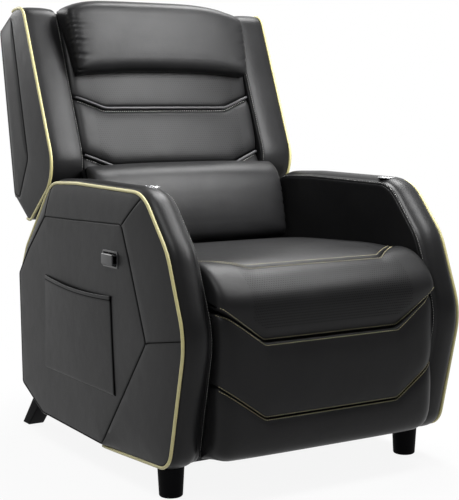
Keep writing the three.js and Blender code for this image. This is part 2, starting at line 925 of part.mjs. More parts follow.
// Seat side rails with the pins that carry the links and the back
function seatRail(sign) {
  const outline = boxOutline(rail_front_y, rail_rear_y, rail_bottom_z, rail_top_z, 5);
  const pieces = [bar(outline, sign * rail_inner, sign * rail_outer)];
  const inward = [
    [drive_pivot, link_pin],
    [guide_pivot, link_pin],
    [recline_pivot, recline_pivot.pin],
  ];
  for (const [place, radius] of inward) {
    pieces.push(roundBar(sign * (drive_layer[0] + seat_gap), sign * (rail_inner + 1), place, radius));
  }
  for (const pair of swing_pairs) {
    const end = swing_inner + swing_thick + seat_gap;
    pieces.push(roundBar(sign * (rail_outer - 1), sign * end, pair.top, swing_pin));
  }
  return join(...pieces);
}

const seat_cross_half = rail_inner - seat_gap;
const seat_front_cross = { y: rail_front_y, depth: 30, z: 310, height: rail_top_z - 310 };
const seat_rear_cross = { y: 130, depth: 30, z: 300, height: rail_top_z - 300 };
addNode("seat_front_rail", crossRail(seat_front_cross, seat_cross_half), "wood");
addNode("seat_rear_rail", crossRail(seat_rear_cross, seat_cross_half), "wood");

// Straps of elastic webbing that carry the seat cushion
const strap_count = 5;
const strap_width = 50;
const strap_thick = 3;
const strap_pitch = 90;

for (let k = 0; k < strap_count; k++) {
  const x = (k - (strap_count - 1) / 2) * strap_pitch;
  const strap = box(
    x - strap_width / 2,
    x + strap_width / 2,
    seat_front_cross.y + overrun,
    seat_rear_cross.y + seat_rear_cross.depth - overrun,
    rail_top_z + seat_gap,
    rail_top_z + seat_gap + strap_thick,
  );
  addNode(`seat_strap_${k + 1}`, strap, "webbing");
}

function footBracket(sign) {
  const board_face = foot_rear_y + seat_gap + board_thick;
  const [inner, outer] = bracket_layer;
  const flange_width = 26;
  const flange_thick = 4;
  const arm_plate = linkPlate(
    foot_pivot,
    { y: board_face + 12, z: foot_pivot.z },
    link_width,
    sign * inner,
    sign * outer,
    [],
  );
  const upright = bar(
    boxOutline(board_face + seat_gap, board_face + 24, foot_pivot.z - 90, foot_pivot.z + 40, 5),
    sign * inner,
    sign * outer,
  );
  const flange = bar(
    boxOutline(
      board_face + seat_gap,
      board_face + seat_gap + flange_thick,
      foot_pivot.z - 90,
      foot_pivot.z + 40,
    ),
    sign * (outer - flange_width),
    sign * (outer - 1),
  );
  const hole = roundBar(sign * (inner - overrun), sign * (outer + overrun), foot_pivot, link_pin + pin_gap);
  return cut(join(arm_plate, upright, flange), hole);
}

for (const [hand, sign] of [["right", -1], ["left", 1]]) {
  addNode(`seat_rail_${hand}`, seatRail(sign), "steel");

  const drive_eyes = [{ ...drive_pivot, radius: link_pin + pin_gap }];
  const drive_x = drive_layer.map((x) => sign * x);
  const drive = linkPlate(drive_pivot, knee, link_width, ...drive_x, drive_eyes);
  const knee_pin_x = [sign * (reach_layer[0] + seat_gap), sign * (drive_layer[0] + 1)];
  addNode(`drive_link_${hand}`, join(drive, roundBar(...knee_pin_x, knee, link_pin)), "steel");

  const reach_eyes = [{ ...knee, radius: link_pin + pin_gap }];
  const reach_x = reach_layer.map((x) => sign * x);
  const reach = linkPlate(tail_eye, foot_pivot, link_width, ...reach_x, reach_eyes);
  const foot_pin_x = [sign * (bracket_layer[0] + seat_gap), sign * (reach_layer[0] + 1)];
  const tail_pin_x = [sign * (reach_layer[1] - 1), sign * (drive_layer[1] - seat_gap)];
  const foot_pin = roundBar(...foot_pin_x, foot_pivot, link_pin);
  const tail_pin = roundBar(...tail_pin_x, tail_eye, link_pin);
  addNode(`reach_link_${hand}`, join(reach, foot_pin, tail_pin), "steel");

  const guide_eyes = [
    { ...guide_pivot, radius: link_pin + pin_gap },
    { ...tail_eye, radius: link_pin + guide_play },
  ];
  const guide_width = 2 * (link_pin + guide_play) + 6;
  const guide = linkPlate(guide_pivot, tail_eye, guide_width, ...drive_x, guide_eyes);
  addNode(`guide_link_${hand}`, guide, "steel");

  addNode(`foot_bracket_${hand}`, footBracket(sign), "steel");
}

// Tube that ties the two drive links together
const drive_tube_radius = 10;
const drive_tube_half = drive_layer[0] - seat_gap;
const drive_tube = roundBar(-drive_tube_half, drive_tube_half, drive_pivot, drive_tube_radius, 14);
addNode("drive_tube", drive_tube, "steel");

// Footrest board and pad
const board = boxOutline(
  foot_rear_y - seat_gap + seat_gap,
  foot_rear_y + board_thick,
  board_bottom_z,
  board_top_z,
  3,
);
addNode("foot_board", bar(board, -board_half, board_half), "wood");

function footPad() {
  const base = curvedBase([
    side(foot_face_y + 26, roll_bottom_z + line_rise + 10),
    side(foot_face_y + 8, roll_bottom_z + line_rise - 12),
    side(foot_face_y, roll_bottom_z + 20),
    side(foot_face_y, foot_line_z),
    side(foot_face_y + 8, foot_bottom_z + 30),
    side(foot_face_y + 26, foot_bottom_z + 4),
  ]);
  const lower = base.whereZ(foot_line_z);
  return cushion({
    half: foot_half,
    end_radius: 42,
    end_share: 0.7,
    bow: 3,
    power: 4,
    crowns: [foot_crown, foot_crown],
    draw: 3,
    swellAt: () => 1,
    baseAt: base.at,
    linesAt: (x) => [
      base.whereZ(roll_bottom_z - foot_top_gap + seamRise(x, line_rise)),
      lower - seamRise(x, line_rise),
      base.length,
    ],
    backAt: (x, face) => {
      const wraps = Math.abs(x) > board_half + seat_gap;
      const rear_y = foot_rear_y + (wraps ? board_thick : 0) - seat_gap;
      return [
        side(rear_y - 4, foot_bottom_z),
        side(rear_y, foot_bottom_z + 4),
        side(rear_y, face[0].y - 6),
        side(rear_y - 6, face[0].y),
      ];
    },
  });
}

addNode("foot_pad", footPad(), "leather");

// Seat cushion with its front roll
const seat_under_z = rail_top_z + strap_thick + 2 * seat_gap;

function seatCushion() {
  const rear_top_z = 466;
  const roll_front_y = foot_face_y + 3;
  const base = curvedBase([
    side(seat_rear_y, rear_top_z),
    side(-100, 474),
    side(-300, 482),
    side(seat_front_line.from_y + 20, 478),
    side(seat_front_line.from_y - 25, 456),
    side(roll_front_y, 415),
    side(roll_front_y - 2, 375),
    side(roll_front_y + 6, roll_bottom_z),
  ]);
  const front_line = base.whereY(seat_front_line.from_y);
  return cushion({
    half: seat_half,
    end_radius: 36,
    end_share: 0.7,
    bow: seat_crown,
    power: 4,
    crowns: [6, 8],
    draw: 3,
    swellAt: () => 1,
    baseAt: base.at,
    linesAt: (x) => [
      0,
      front_line - seamRise(x, seat_front_line.draw),
      base.whereZ(roll_bottom_z + seamRise(x, line_rise)),
    ],
    backAt: (x, face) => [
      side(roll_inner_y - 6, face[face.length - 1].y),
      side(roll_inner_y, face[face.length - 1].y + 6),
      side(roll_inner_y, seat_under_z),
      side(seat_rear_y, seat_under_z),
    ],
  });
}

addNode("seat_cushion", seatCushion(), "leather");

// Back cushion
const back_foot_point = side(back_foot.y, back_foot.z);
const back_length = (back_top_z - back_foot.z) / Math.cos(back_lean);
const cushion_gap = 2;

function alongBack(z) {
  return (z - back_foot.z) / Math.cos(back_lean);
}

function rearLineY(z) {
  return back_rear_foot_y + (z - back_foot.z) * Math.tan(back_rear_lean);
}

addNode(
  "back_cushion",
  cushion({
    half: wing_inner - seat_gap,
    end_radius: 20,
    end_share: 0.6,
    bow: 3,
    power: 4,
    crowns: [back_crown, back_crown, back_crown * 0.7],
    draw: 2,
    swellAt: () => 1,
    baseAt: leaningBase(back_foot_point, back_lean, 0),
    linesAt: (x) => [
      0,
      alongBack(lower_line.z + seamRise(x, lower_line.rise)),
      alongBack(upper_line.z + seamRise(x, upper_line.rise)),
      back_length,
    ],
    backAt: () => [
      side(rearLineY(back_top_z) - 18, back_top_z + 6),
      side(rearLineY(back_top_z), back_top_z),
      side(rearLineY(back_foot.z), back_foot.z),
    ],
  }),
  "leather",
);

// Pillows on the back cushion
function pillow(form) {
  const offset = form.offset;
  const base = leaningBase(back_foot_point, back_lean, offset);
  const from = alongBack(form.low_z);
  const to = alongBack(form.high_z);
  const edge = form.seam_thick;
  return cushion({
    half: form.half,
    end_radius: form.end_radius,
    end_share: 0,
    bow: 0,
    power: form.power,
    crowns: [form.depth - edge],
    draw: form.draw,
    swellAt: (x) => {
      const share = Math.abs(x) / form.half;
      const ends = Math.max(0, 1 - share ** form.end_power) ** (1 / 2.2);
      return THREE.MathUtils.lerp(form.end_thick_share, 1, ends);
    },
    baseAt: leaningBase(back_foot_point, back_lean, offset + edge),
    linesAt: () => [from, to],
    backAt: () => [base(to).point, base(from).point],
  });
}

addNode(
  "lumbar_pillow",
  pillow({
    half: 262,
    low_z: 458,
    high_z: 648,
    depth: 68,
    offset: back_crown + 3 + seat_gap,
    seam_thick: 26,
    power: 3.4,
    end_radius: 20,
    end_power: 7,
    end_thick_share: 0.35,
    draw: 0,
  }),
  "leather",
);
addNode(
  "head_pillow",
  pillow({
    half: 239,
    low_z: 872,
    high_z: 1042,
    depth: 72,
    offset: back_crown * 0.7 + 3 + seat_gap,
    seam_thick: 10,
    power: 2.6,
    end_radius: 20,
    end_power: 6,
    end_thick_share: 0.25,
    draw: 0,
  }),
  "leather",
);

// Wings and their cords
for (const [hand, sign] of [["right", -1], ["left", 1]]) {
  addNode(`wing_${hand}`, paddedBlock(wing_form, sign), "leather");
  addNode(`wing_cord_${hand}`, edgeCord(wing_form, sign), "cord");
}

// Frame of the back: posts beside the wings, rails between them and recline brackets
const post_thick = 18;
const post_depth = 38;
const post_outer = wing_inner - seat_gap;
const post_inner = post_outer - post_thick;
const post_drop = 69; // from the top of the wings down to the posts
const post_top_z = wing_bottom + wing_height - post_drop;
const post_gap = 0.6;

function postOutline(z_from, z_to) {
  const front = (z) => rearLineY(z) + post_gap;
  return [
    side(front(z_from), z_from),
    side(front(z_from) + post_depth, z_from),
    side(front(z_to) + post_depth, z_to),
    side(front(z_to), z_to),
  ];
}

const bracket_eye = 20;
const bracket_top_z = 470;

function reclineBracket(sign) {
  const top = { y: rearLineY(bracket_top_z) + post_gap + post_depth / 2, z: bracket_top_z };
  const eye = { ...recline_pivot, radius: recline_pivot.pin + pin_gap };
  const x = drive_layer.map((layer) => sign * layer);
  const whole = linkPlate(recline_pivot, top, 2 * bracket_eye, ...x, [eye]);
  const room = [
    side(rearLineY(back_foot.z) - bracket_eye * 2, back_foot.z - post_gap),
    side(rearLineY(back_foot.z) + post_gap, back_foot.z - post_gap),
    side(rearLineY(bracket_top_z * 1.1) + post_gap, bracket_top_z * 1.1),
    side(rearLineY(back_foot.z) - bracket_eye * 2, bracket_top_z * 1.1),
  ];
  return cut(whole, bar(room, sign * (drive_layer[0] - overrun), sign * (drive_layer[1] + overrun)));
}

const back_rails = [
  ["lower", 392, 432],
  ["middle", 640, 690],
  ["upper", 915, post_top_z],
];
for (const [place, z_from, z_to] of back_rails) {
  const half = (place === "lower" ? drive_layer[0] : post_inner) - seat_gap;
  addNode(`back_rail_${place}`, bar(postOutline(z_from, z_to), -half, half), "wood");
}
for (const [hand, sign] of [["right", -1], ["left", 1]]) {
  const outline = postOutline(back_foot.z, post_top_z);
  addNode(`back_post_${hand}`, bar(outline, sign * post_inner, sign * post_outer), "wood");
  addNode(`recline_bracket_${hand}`, reclineBracket(sign), "steel");
}

// Upholstered cover that closes the back between the wings
const cover_thick = 22;
const cover_bottom_z = 335;

function rearCover() {
  const [top_rear, rear_high, rear_low] = wing_form.corners;
  const slope = (rear_high.x - rear_low.x) / (rear_high.y - rear_low.y);
  const rearAt = (z) => rear_low.x + (z - rear_low.y) * slope;
  const drop = 6;
  const front = rearLineY(back_top_z) + cushion_gap;
  const fall = (top_rear.y - rear_high.y) / (rear_high.x - top_rear.x);
  const front_top = top_rear.y - drop - (front - top_rear.x) * fall;
  const corners = [
    side(rearAt(cover_bottom_z) - cover_thick, cover_bottom_z),
    side(rearAt(cover_bottom_z), cover_bottom_z),
    side(rear_high.x - drop, rear_high.y - drop),
    side(front, front_top),
    side(front, front_top - cover_thick),
    side(rear_high.x - drop - cover_thick, rear_high.y - drop - cover_thick * 0.6),
  ];
  const points = roundedOutline(corners, [4, 8, 15, 8, 4, 10]);
  const half = wing_inner - seat_gap;
  return bar(points, -half, half, 3);
}

addNode("rear_cover", rearCover(), "leather");

// The origin lies on the floor under the middle of the whole chair
const bounds = new THREE.Box3().setFromObject(recliner);
const middle = bounds.getCenter(new THREE.Vector3());
recliner.position.set(-middle.x, -middle.y, -bounds.min.z);

export default recliner;
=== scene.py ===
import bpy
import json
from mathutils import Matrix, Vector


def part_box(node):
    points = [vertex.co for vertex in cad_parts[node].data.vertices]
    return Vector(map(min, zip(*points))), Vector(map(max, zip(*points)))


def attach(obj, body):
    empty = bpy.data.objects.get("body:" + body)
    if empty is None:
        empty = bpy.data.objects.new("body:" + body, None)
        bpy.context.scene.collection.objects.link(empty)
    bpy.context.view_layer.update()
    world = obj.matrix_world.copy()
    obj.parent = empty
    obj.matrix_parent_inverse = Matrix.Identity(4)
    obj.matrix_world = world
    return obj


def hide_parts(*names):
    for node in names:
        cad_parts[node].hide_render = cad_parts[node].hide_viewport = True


bl_info = {
    "name": "Gaming recliner",
    "version": (1, 0, 0),
    "blender": (4, 5, 0),
    "location": "View3D > Sidebar > Recliner",
    "description": "Dresses the packed recliner: leather, cord, stitching, pillows and release",
    "category": "Add Mesh",
}

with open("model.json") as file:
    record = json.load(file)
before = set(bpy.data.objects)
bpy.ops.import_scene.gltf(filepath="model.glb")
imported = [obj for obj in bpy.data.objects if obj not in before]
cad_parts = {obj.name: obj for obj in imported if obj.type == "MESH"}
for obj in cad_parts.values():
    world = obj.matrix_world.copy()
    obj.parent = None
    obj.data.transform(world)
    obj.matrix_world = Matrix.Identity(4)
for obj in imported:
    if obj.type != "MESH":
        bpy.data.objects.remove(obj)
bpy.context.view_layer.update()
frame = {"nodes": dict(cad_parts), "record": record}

import json
import math

import bmesh
import bpy
import numpy as np
from bpy.props import FloatProperty, FloatVectorProperty, IntProperty, PointerProperty
from mathutils import Matrix, Vector
from mathutils.bvhtree import BVHTree
from mathutils.kdtree import KDTree

# Where the middle of the chair and its side view lie in the frame
LEG_LOW, LEG_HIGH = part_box("front_leg_left")
ARM_LEFT_X, ARM_RIGHT_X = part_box("arm_left")[0].x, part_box("arm_right")[1].x  # inner faces
MIDDLE_X = (ARM_LEFT_X + ARM_RIGHT_X) / 2
FRONT_LEG_Y = -0.328  # of the leg's axis, from the side view's own origin
SIDE_Y = (LEG_LOW.y + LEG_HIGH.y) / 2 - FRONT_LEG_Y
HANDS = (("right", -1), ("left", 1))


def length(name, text, default, low=0.0, high=3.0):
    return FloatProperty(
        name=name, description=text, default=default, min=low, max=high, unit="LENGTH", precision=4
    )


def paint(name, text, default):
    return FloatVectorProperty(
        name=name, description=text, default=default, size=3, min=0, max=1, subtype="COLOR"
    )


class ArmSizes(bpy.types.PropertyGroup):
    front: length("Front", "Place of the outline's front in the side view", -0.453, -2, 2)
    depth: length("Depth", "Front to back", 0.792)
    bottom: length("Underside", "Height of the underside", 0.060)
    height: length("Height", "From the underside to the arm rest", 0.569)
    inner: length("Inner face", "From the chair's middle", (ARM_LEFT_X - ARM_RIGHT_X) / 2)
    cord_plane: length("Cord plane", "From the inner face to the cord", 0.0714)
    panel_plane: length("Panel plane", "From the inner face to the raised panel", 0.082)
    edge: length("Edge radius", "Roundness of the inner edge", 0.012)
    swell: length("Swell", "How far the padding stands up between its edges", 0.009)
    facet_crown: length("Facet crown", "Fullness of the sloping bands", 0.0022)
    panel_crown: length("Panel crown", "Fullness of the raised panel", 0.0018)


class WingSizes(bpy.types.PropertyGroup):
    front: length("Front", "Place of the outline's front in the side view", 0.1625, -2, 2)
    depth: length("Depth", "Front to back", 0.3045)
    bottom: length("Underside", "Height of the lowest corner", 0.518)
    height: length("Height", "From the lowest corner to the top", 0.516)
    inner: length("Inner face", "From the chair's middle", 0.252)
    cord_plane: length("Cord plane", "From the inner face to the cord", 0.0845)
    panel_plane: length("Panel plane", "From the inner face to the outer panel", 0.0897)
    edge: length("Edge radius", "Roundness of the inner edge", 0.012)
    swell: length("Swell", "How far the padding stands up between its edges", 0.003)
    draw_in: length("Draw in", "How far the outer face leans in at the top", -0.004, -1)
    facet_crown: length("Facet crown", "Fullness of the sloping bands", 0.0015)
    panel_crown: length("Panel crown", "Fullness of the outer panel", 0.0020)


class CushionSizes(bpy.types.PropertyGroup):
    line_flat: length("Level stretch", "Half the level stretch of a seam", 0.170)
    line_full: length("Full climb", "Where a seam has climbed fully", 0.276)
    line_rise: length("Climb", "How far the footrest's seams climb at the sides", 0.074)
    lower_v: length("Lower V", "Height of the back's lower seam", 0.653)
    lower_rise: length("Lower climb", "Climb of the back's lower seam", 0.0426)
    upper_v: length("Upper V", "Height of the back's upper seam", 0.792)
    upper_rise: length("Upper climb", "Climb of the back's upper seam", 0.0403)
    back_crown: length("Back crown", "Fullness of each zone of the back", 0.017)
    voxel: length("Cloth grid", "Grid of the simulated cushion covers", 0.008, 0.003, 0.05)
    pillow_voxel: length("Pillow grid", "Grid of the simulated pillows", 0.007, 0.003, 0.05)
    frames: IntProperty(name="Frames", description="Steps of the simulation", default=20, min=1)


class TrimSizes(bpy.types.PropertyGroup):
    cord: length("Cord radius", "Radius of the edge cord", 0.0035)
    stitch_pitch: length("Stitch pitch", "From one stitch to the next", 0.0056)
    stitch_length: length("Stitch length", "Seen length of a stitch", 0.0030)
    stitch_thick: length("Thread", "Thickness of the thread", 0.0013)
    seam_width: length("Seam width", "Half width of a plain seam's crease", 0.0026)
    seam_depth: length("Seam depth", "Depth of a plain seam's crease", 0.0018)
    hole_pitch: length("Hole pitch", "From one perforation to the next", 0.0056)
    hole_radius: length("Hole radius", "Radius of a perforation", 0.0011)


class Finishes(bpy.types.PropertyGroup):
    leather: paint("Leather", "Black leather", (0.0075, 0.0075, 0.0078))
    cord: paint("Cord", "Pale gold edge cord", (0.46, 0.42, 0.19))
    thread: paint("Gold thread", "Thread of the seat and footrest", (0.52, 0.47, 0.26))
    grey_thread: paint("Grey thread", "Thread of the back", (0.42, 0.42, 0.40))
    plastic: paint("Release plastic", "Black plastic", (0.014, 0.014, 0.015))
    leg: paint("Legs", "Black legs", (0.004, 0.004, 0.0045))
    steel: paint("Mechanism", "Dark steel", (0.060, 0.062, 0.065))
    badge: paint("Badge", "Bright metal", (0.70, 0.71, 0.72))
    wood: paint("Frame wood", "Birch plywood", (0.50, 0.36, 0.20))
    webbing: paint("Webbing", "Elastic webbing", (0.050, 0.050, 0.054))
    floor: paint("Floor", "Pale studio floor", (0.86, 0.86, 0.86))


GROUPS = {
    "recliner_arm": ArmSizes,
    "recliner_wing": WingSizes,
    "recliner_cushion": CushionSizes,
    "recliner_trim": TrimSizes,
    "recliner_finish": Finishes,
}


# Node trees, written as sums


class Socket:
    """An output of a node that sums can use."""

    def __init__(self, tree, socket):
        self.tree, self.socket = tree, socket

    def sum(self, operation, *others, clamp=False):
        return self.tree.sum(operation, self, *others, clamp=clamp)

    def __add__(self, other):
        return self.sum("ADD", other)

    def __sub__(self, other):
        return self.sum("SUBTRACT", other)

    def __rsub__(self, other):
        return self.tree.sum("SUBTRACT", other, self)

    def __mul__(self, other):
        return self.sum("MULTIPLY", other)

    def __truediv__(self, other):
        return self.sum("DIVIDE", other)

    def __rtruediv__(self, other):
        return self.tree.sum("DIVIDE", other, self)

    __radd__, __rmul__ = __add__, __mul__

    def clamped(self):
        return self.sum("ADD", 0.0, clamp=True)

    def size(self):
        return self.sum("ABSOLUTE")


class Node:
    """A node, whose outputs are read by name or place."""

    def __init__(self, tree, node):
        self.tree, self.node = tree, node

    def __getitem__(self, key):
        return Socket(self.tree, self.node.outputs[key])


class Tree:
    """Builds a shader or geometry tree."""

    def __init__(self, nodes):
        self.tree = nodes

    def node(self, kind, settings=None, **values):
        """A node with its settings made first, then the values or links of its sockets."""
        return self.wired(kind, settings, values)

    def wired(self, kind, settings, values):
        made = self.tree.nodes.new(kind)
        for name, value in (settings or {}).items():
            if name == "stops":
                ramp = made.color_ramp
                while len(ramp.elements) < len(value):
                    ramp.elements.new(1)
                for element, (place, colour) in zip(ramp.elements, value):
                    element.position = place
                    element.color = (*colour, 1) if len(colour) == 3 else colour
            else:
                setattr(made, name, value)
        for key, value in values.items():
            socket = made.inputs[key if isinstance(key, int) else key.replace("_", " ")]
            if isinstance(value, Socket):
                self.tree.links.new(value.socket, socket)
            else:
                socket.default_value = value
        return Node(self, made)

    def sum(self, operation, *terms, clamp=False):
        settings = {"operation": operation, "use_clamp": clamp}
        return self.wired("ShaderNodeMath", settings, dict(enumerate(terms)))[0]

    def mix(self, factor, first, second):
        settings = {"data_type": "RGBA"}
        return self.wired("ShaderNodeMix", settings, {0: factor, 6: first, 7: second})[2]


def colour(values, share=1.0):
    """A colour for a socket, made darker or lighter by a share."""
    return (*(min(1.0, value * share) for value in values), 1.0)


# Materials


def material(name):
    """An empty material and its tree."""
    made = bpy.data.materials.new(name)
    made.use_nodes = True
    made.node_tree.nodes.clear()
    return made, Tree(made.node_tree)


def shader_of(tree, fixed, tone, roughness, normal):
    """One surface shader: what is the same all over is set on its own socket."""
    varied = {"Base Color": tone, "Roughness": roughness, "Normal": normal}
    return tree.wired("ShaderNodeBsdfPrincipled", None, {**fixed, **varied})[0]


def finish_surface(tree, *surface):
    tree.node("ShaderNodeOutputMaterial", Surface=shader_of(tree, *surface))


def bump(tree, height, strength, distance, normal=None):
    """A bumped normal, on top of another one if that is given."""
    values = {"Height": height, "Strength": strength, "Distance": distance}
    if normal:
        values["Normal"] = normal
    return tree.wired("ShaderNodeBump", None, values)["Normal"]


def object_place(tree):
    return tree.node("ShaderNodeTexCoord")["Object"]


def noise(tree, place, scale, detail=2.0, rough=0.5):
    values = {"Vector": place, "Scale": scale, "Detail": detail, "Roughness": rough}
    return tree.wired("ShaderNodeTexNoise", None, values)[0]


def leather_material(name, base, rough=0.38, grain=0.20, soft=0.05, gloss=0.15):
    """Coated leather: pebbled grain, broad uneven gloss, and painted shade in the seams' creases."""
    made, tree = material(name)
    place = object_place(tree)
    cells = tree.node(
        "ShaderNodeTexVoronoi", {"feature": "SMOOTH_F1"}, Vector=place, Scale=620.0, Smoothness=0.6
    )["Distance"]
    fine = noise(tree, place, 1500.0, 2.0, 0.6)
    broad = noise(tree, place, 9.0, 3.0, 0.55)
    pull = noise(tree, place, 26.0, 2.0, 0.5)
    # The seam attribute holds painted shade: how dark a crease, groove or gap by a seam is painted
    seam = tree.node("ShaderNodeAttribute", {"attribute_name": "seam"})["Fac"]
    body = tree.mix((broad * 1.5 - 0.25).clamped(), colour(base, 0.74), colour(base, 1.30))
    pores = tree.mix((1 - cells * 1.6).clamped() * 0.35, body, colour(base, 0.5))
    roughness = rough + (broad - 0.5) * 0.12 + (pull - 0.5) * 0.07
    coarse = bump(tree, pull, soft, 0.012)
    normal = bump(tree, cells + fine * 0.35, grain, 0.0006, coarse)
    skin = shader_of(tree, {"Specular IOR Level": gloss}, pores, roughness.clamped(), normal)
    # A near-black matte copy of the leather, mixed in by the seam attribute: painted shade in creases
    depth = tree.node("ShaderNodeBsdfDiffuse", Color=colour(base, 0.08), Roughness=1.0)
    both = tree.wired("ShaderNodeMixShader", None, {0: seam.clamped(), 1: skin, 2: depth[0]})
    tree.node("ShaderNodeOutputMaterial", Surface=both[0])
    return made


def cord_material(name, base):
    """Glossy wound edge cord; each wind is painted lighter on its crest and darker between, a painted
    highlight and shade that follow its bump, over random unevenness.
    """
    made, tree = material(name)
    place = object_place(tree)
    turn = tree.node("ShaderNodeAttribute", {"attribute_name": "along"})["Fac"]
    wound = (turn * 2600.0).sum("SINE") * 0.5 + 0.5
    uneven = noise(tree, place, 60.0, 2.0, 0.5)
    # wound paints the winding's crests lighter and its grooves darker: painted highlight and shade;
    # uneven is random tone
    share = (wound * 0.5 + uneven * 0.6).clamped()
    tone = tree.mix(share, colour(base, 0.66), colour(base, 1.12))
    fixed = {"Specular IOR Level": 0.5, "Sheen Weight": 0.15, "Sheen Roughness": 0.4}
    normal = bump(tree, wound + uneven, 0.25, 0.0004)
    finish_surface(tree, fixed, tone, 0.42, normal)
    return made


def thread_material(name, base):
    """Dull sewing thread with fine strands."""
    made, tree = material(name)
    place = object_place(tree)
    strands = noise(tree, place, 900.0, 2.0, 0.6)
    tone = tree.mix(strands, colour(base, 0.7), colour(base, 1.3))
    normal = bump(tree, strands, 0.3, 0.0002)
    fixed = {"Sheen Weight": 0.25, "Sheen Roughness": 0.5}
    finish_surface(tree, fixed, tone, 0.62, normal)
    return made


def plastic_material(name, base, rough, texture, gloss=0.5):
    """Moulded or lacquered skin with a fine texture and faint smears."""
    made, tree = material(name)
    place = object_place(tree)
    spark = noise(tree, place, 1400.0, 2.0, 0.65)
    smear = noise(tree, place, 22.0, 3.0, 0.55)
    tone = tree.mix(smear, colour(base, 0.8), colour(base, 1.2))
    roughness = rough + (smear - 0.5) * 0.12 + (spark - 0.5) * 0.06
    normal = bump(tree, spark, texture, 0.0003)
    finish_surface(tree, {"Specular IOR Level": gloss}, tone, roughness, normal)
    return made


def metal_material(name, base, rough):
    """Metal with a direction of rub and dull patches."""
    made, tree = material(name)
    place = object_place(tree)
    stretch = tree.node("ShaderNodeMapping", Vector=place, Scale=(1.0, 60.0, 60.0))["Vector"]
    rub = noise(tree, stretch, 14.0, 4.0, 0.7)
    patch = noise(tree, place, 18.0, 3.0, 0.6)
    tone = tree.mix(patch, colour(base, 0.72), colour(base, 1.22))
    roughness = rough + (rub - 0.5) * 0.2 + (patch - 0.5) * 0.10
    normal = bump(tree, rub, 0.12, 0.0003)
    fixed = {"Metallic": 0.9, "Specular IOR Level": 0.5}
    finish_surface(tree, fixed, tone, roughness.clamped(), normal)
    return made


def wood_material(name, base):
    """Birch plywood: long grain with darker glue lines on the edges."""
    made, tree = material(name)
    place = object_place(tree)
    stretch = tree.node("ShaderNodeMapping", Vector=place, Scale=(0.6, 9.0, 9.0))["Vector"]
    grain = noise(tree, stretch, 16.0, 6.0, 0.62)
    rings = tree.node(
        "ShaderNodeTexWave",
        {"wave_type": "BANDS", "bands_direction": "Z"},
        Vector=stretch,
        Scale=4.0,
        Distortion=5.0,
        Detail=3.0,
    )[1]
    layers = (tree.node("ShaderNodeSeparateXYZ", Vector=place)["Z"] * 2100.0).sum("SINE")
    glue = (layers * 2.0 - 1.0).clamped()
    share = (grain * 0.7 + rings * 0.35).clamped()
    tone = tree.mix(share, colour(base, 0.62), colour(base, 1.2))
    lined = tree.mix(glue * 0.45, tone, colour(base, 0.35))
    normal = bump(tree, grain + rings * 0.4, 0.25, 0.0006)
    finish_surface(tree, {"Specular IOR Level": 0.35}, lined, 0.58 + grain * 0.12, normal)
    return made


def webbing_material(name, base):
    """Woven elastic: ribs across and fine yarns along."""
    made, tree = material(name)
    place = object_place(tree)
    parts = tree.node("ShaderNodeSeparateXYZ", Vector=place)
    ribs = (parts["Y"] * 3100.0).sum("SINE") * 0.5 + 0.5
    yarns = (parts["X"] * 2500.0).sum("SINE") * 0.5 + 0.5
    weave = ribs * 0.6 + yarns * 0.4
    stripe = ((parts["X"] * 140.0).sum("SINE") * 4.0 - 2.6).clamped()
    tone = tree.mix(weave, colour(base, 0.5), colour(base, 1.6))
    striped = tree.mix(stripe * 0.5, tone, colour(base, 5))
    normal = bump(tree, weave, 0.6, 0.0008)
    finish_surface(tree, {"Sheen Weight": 0.3}, striped, 0.85, normal)
    return made


FINISHES = {}


def finishes():
    """Every material of the chair, made once."""
    if FINISHES:
        return FINISHES
    tint = bpy.context.scene.recliner_finish
    made = [
        leather_material("leather", tint.leather),
        leather_material("leather_cushion", tint.leather, rough=0.42, grain=0.22, soft=0.06),
        # Leather five times lighter than the rest, for the back's piping: a painted highlight on the
        # welt
        leather_material("leather_piping", [v * 5 for v in tint.leather], 0.30, 0.08, 0.02),
        leather_material("leather_pillow", tint.leather, rough=0.39, grain=0.22, soft=0.05),
        cord_material("cord", tint.cord),
        thread_material("thread_gold", tint.thread),
        thread_material("thread_grey", tint.grey_thread),
        thread_material("thread_black", [v * 1.4 for v in tint.leather]),
        plastic_material("release_plastic", tint.plastic, 0.30, 0.08),
        plastic_material("leg_lacquer", tint.leg, 0.62, 0.05, 0.03),
        # Near-black discs standing in for the holes: painted shade inside the perforations
        plastic_material("hole", (0.002, 0.002, 0.002), 0.9, 0.0, 0.0),
        metal_material("badge_metal", tint.badge, 0.22),
        metal_material("mechanism_steel", tint.steel, 0.42),
        metal_material("pin_steel", [v * 5 for v in tint.steel], 0.3),
        wood_material("frame_wood", tint.wood),
        webbing_material("webbing", tint.webbing),
        webbing_material("lining", [v * 0.25 for v in tint.webbing]),
    ]
    FINISHES.update({item.name.split(".")[0]: item for item in made})
    return FINISHES


# Mesh tools. Side views are in the chair's own y and z; `placed` brings them into the frame.


def placed(points):
    points = np.asarray(points, float).reshape(-1, 3)
    return points + np.array([MIDDLE_X, SIDE_Y, 0.0])


def linked(name, mesh):
    made = bpy.data.objects.new(name, mesh)
    bpy.context.scene.collection.objects.link(made)
    return made


def evaluated(made):
    """The mesh of an object with its modifiers at work."""
    graph = bpy.context.evaluated_depsgraph_get()
    return bpy.data.meshes.new_from_object(made.evaluated_get(graph), depsgraph=graph)


def work_mesh(name, work):
    mesh = bpy.data.meshes.new(name)
    work.to_mesh(mesh)
    work.free()
    return mesh


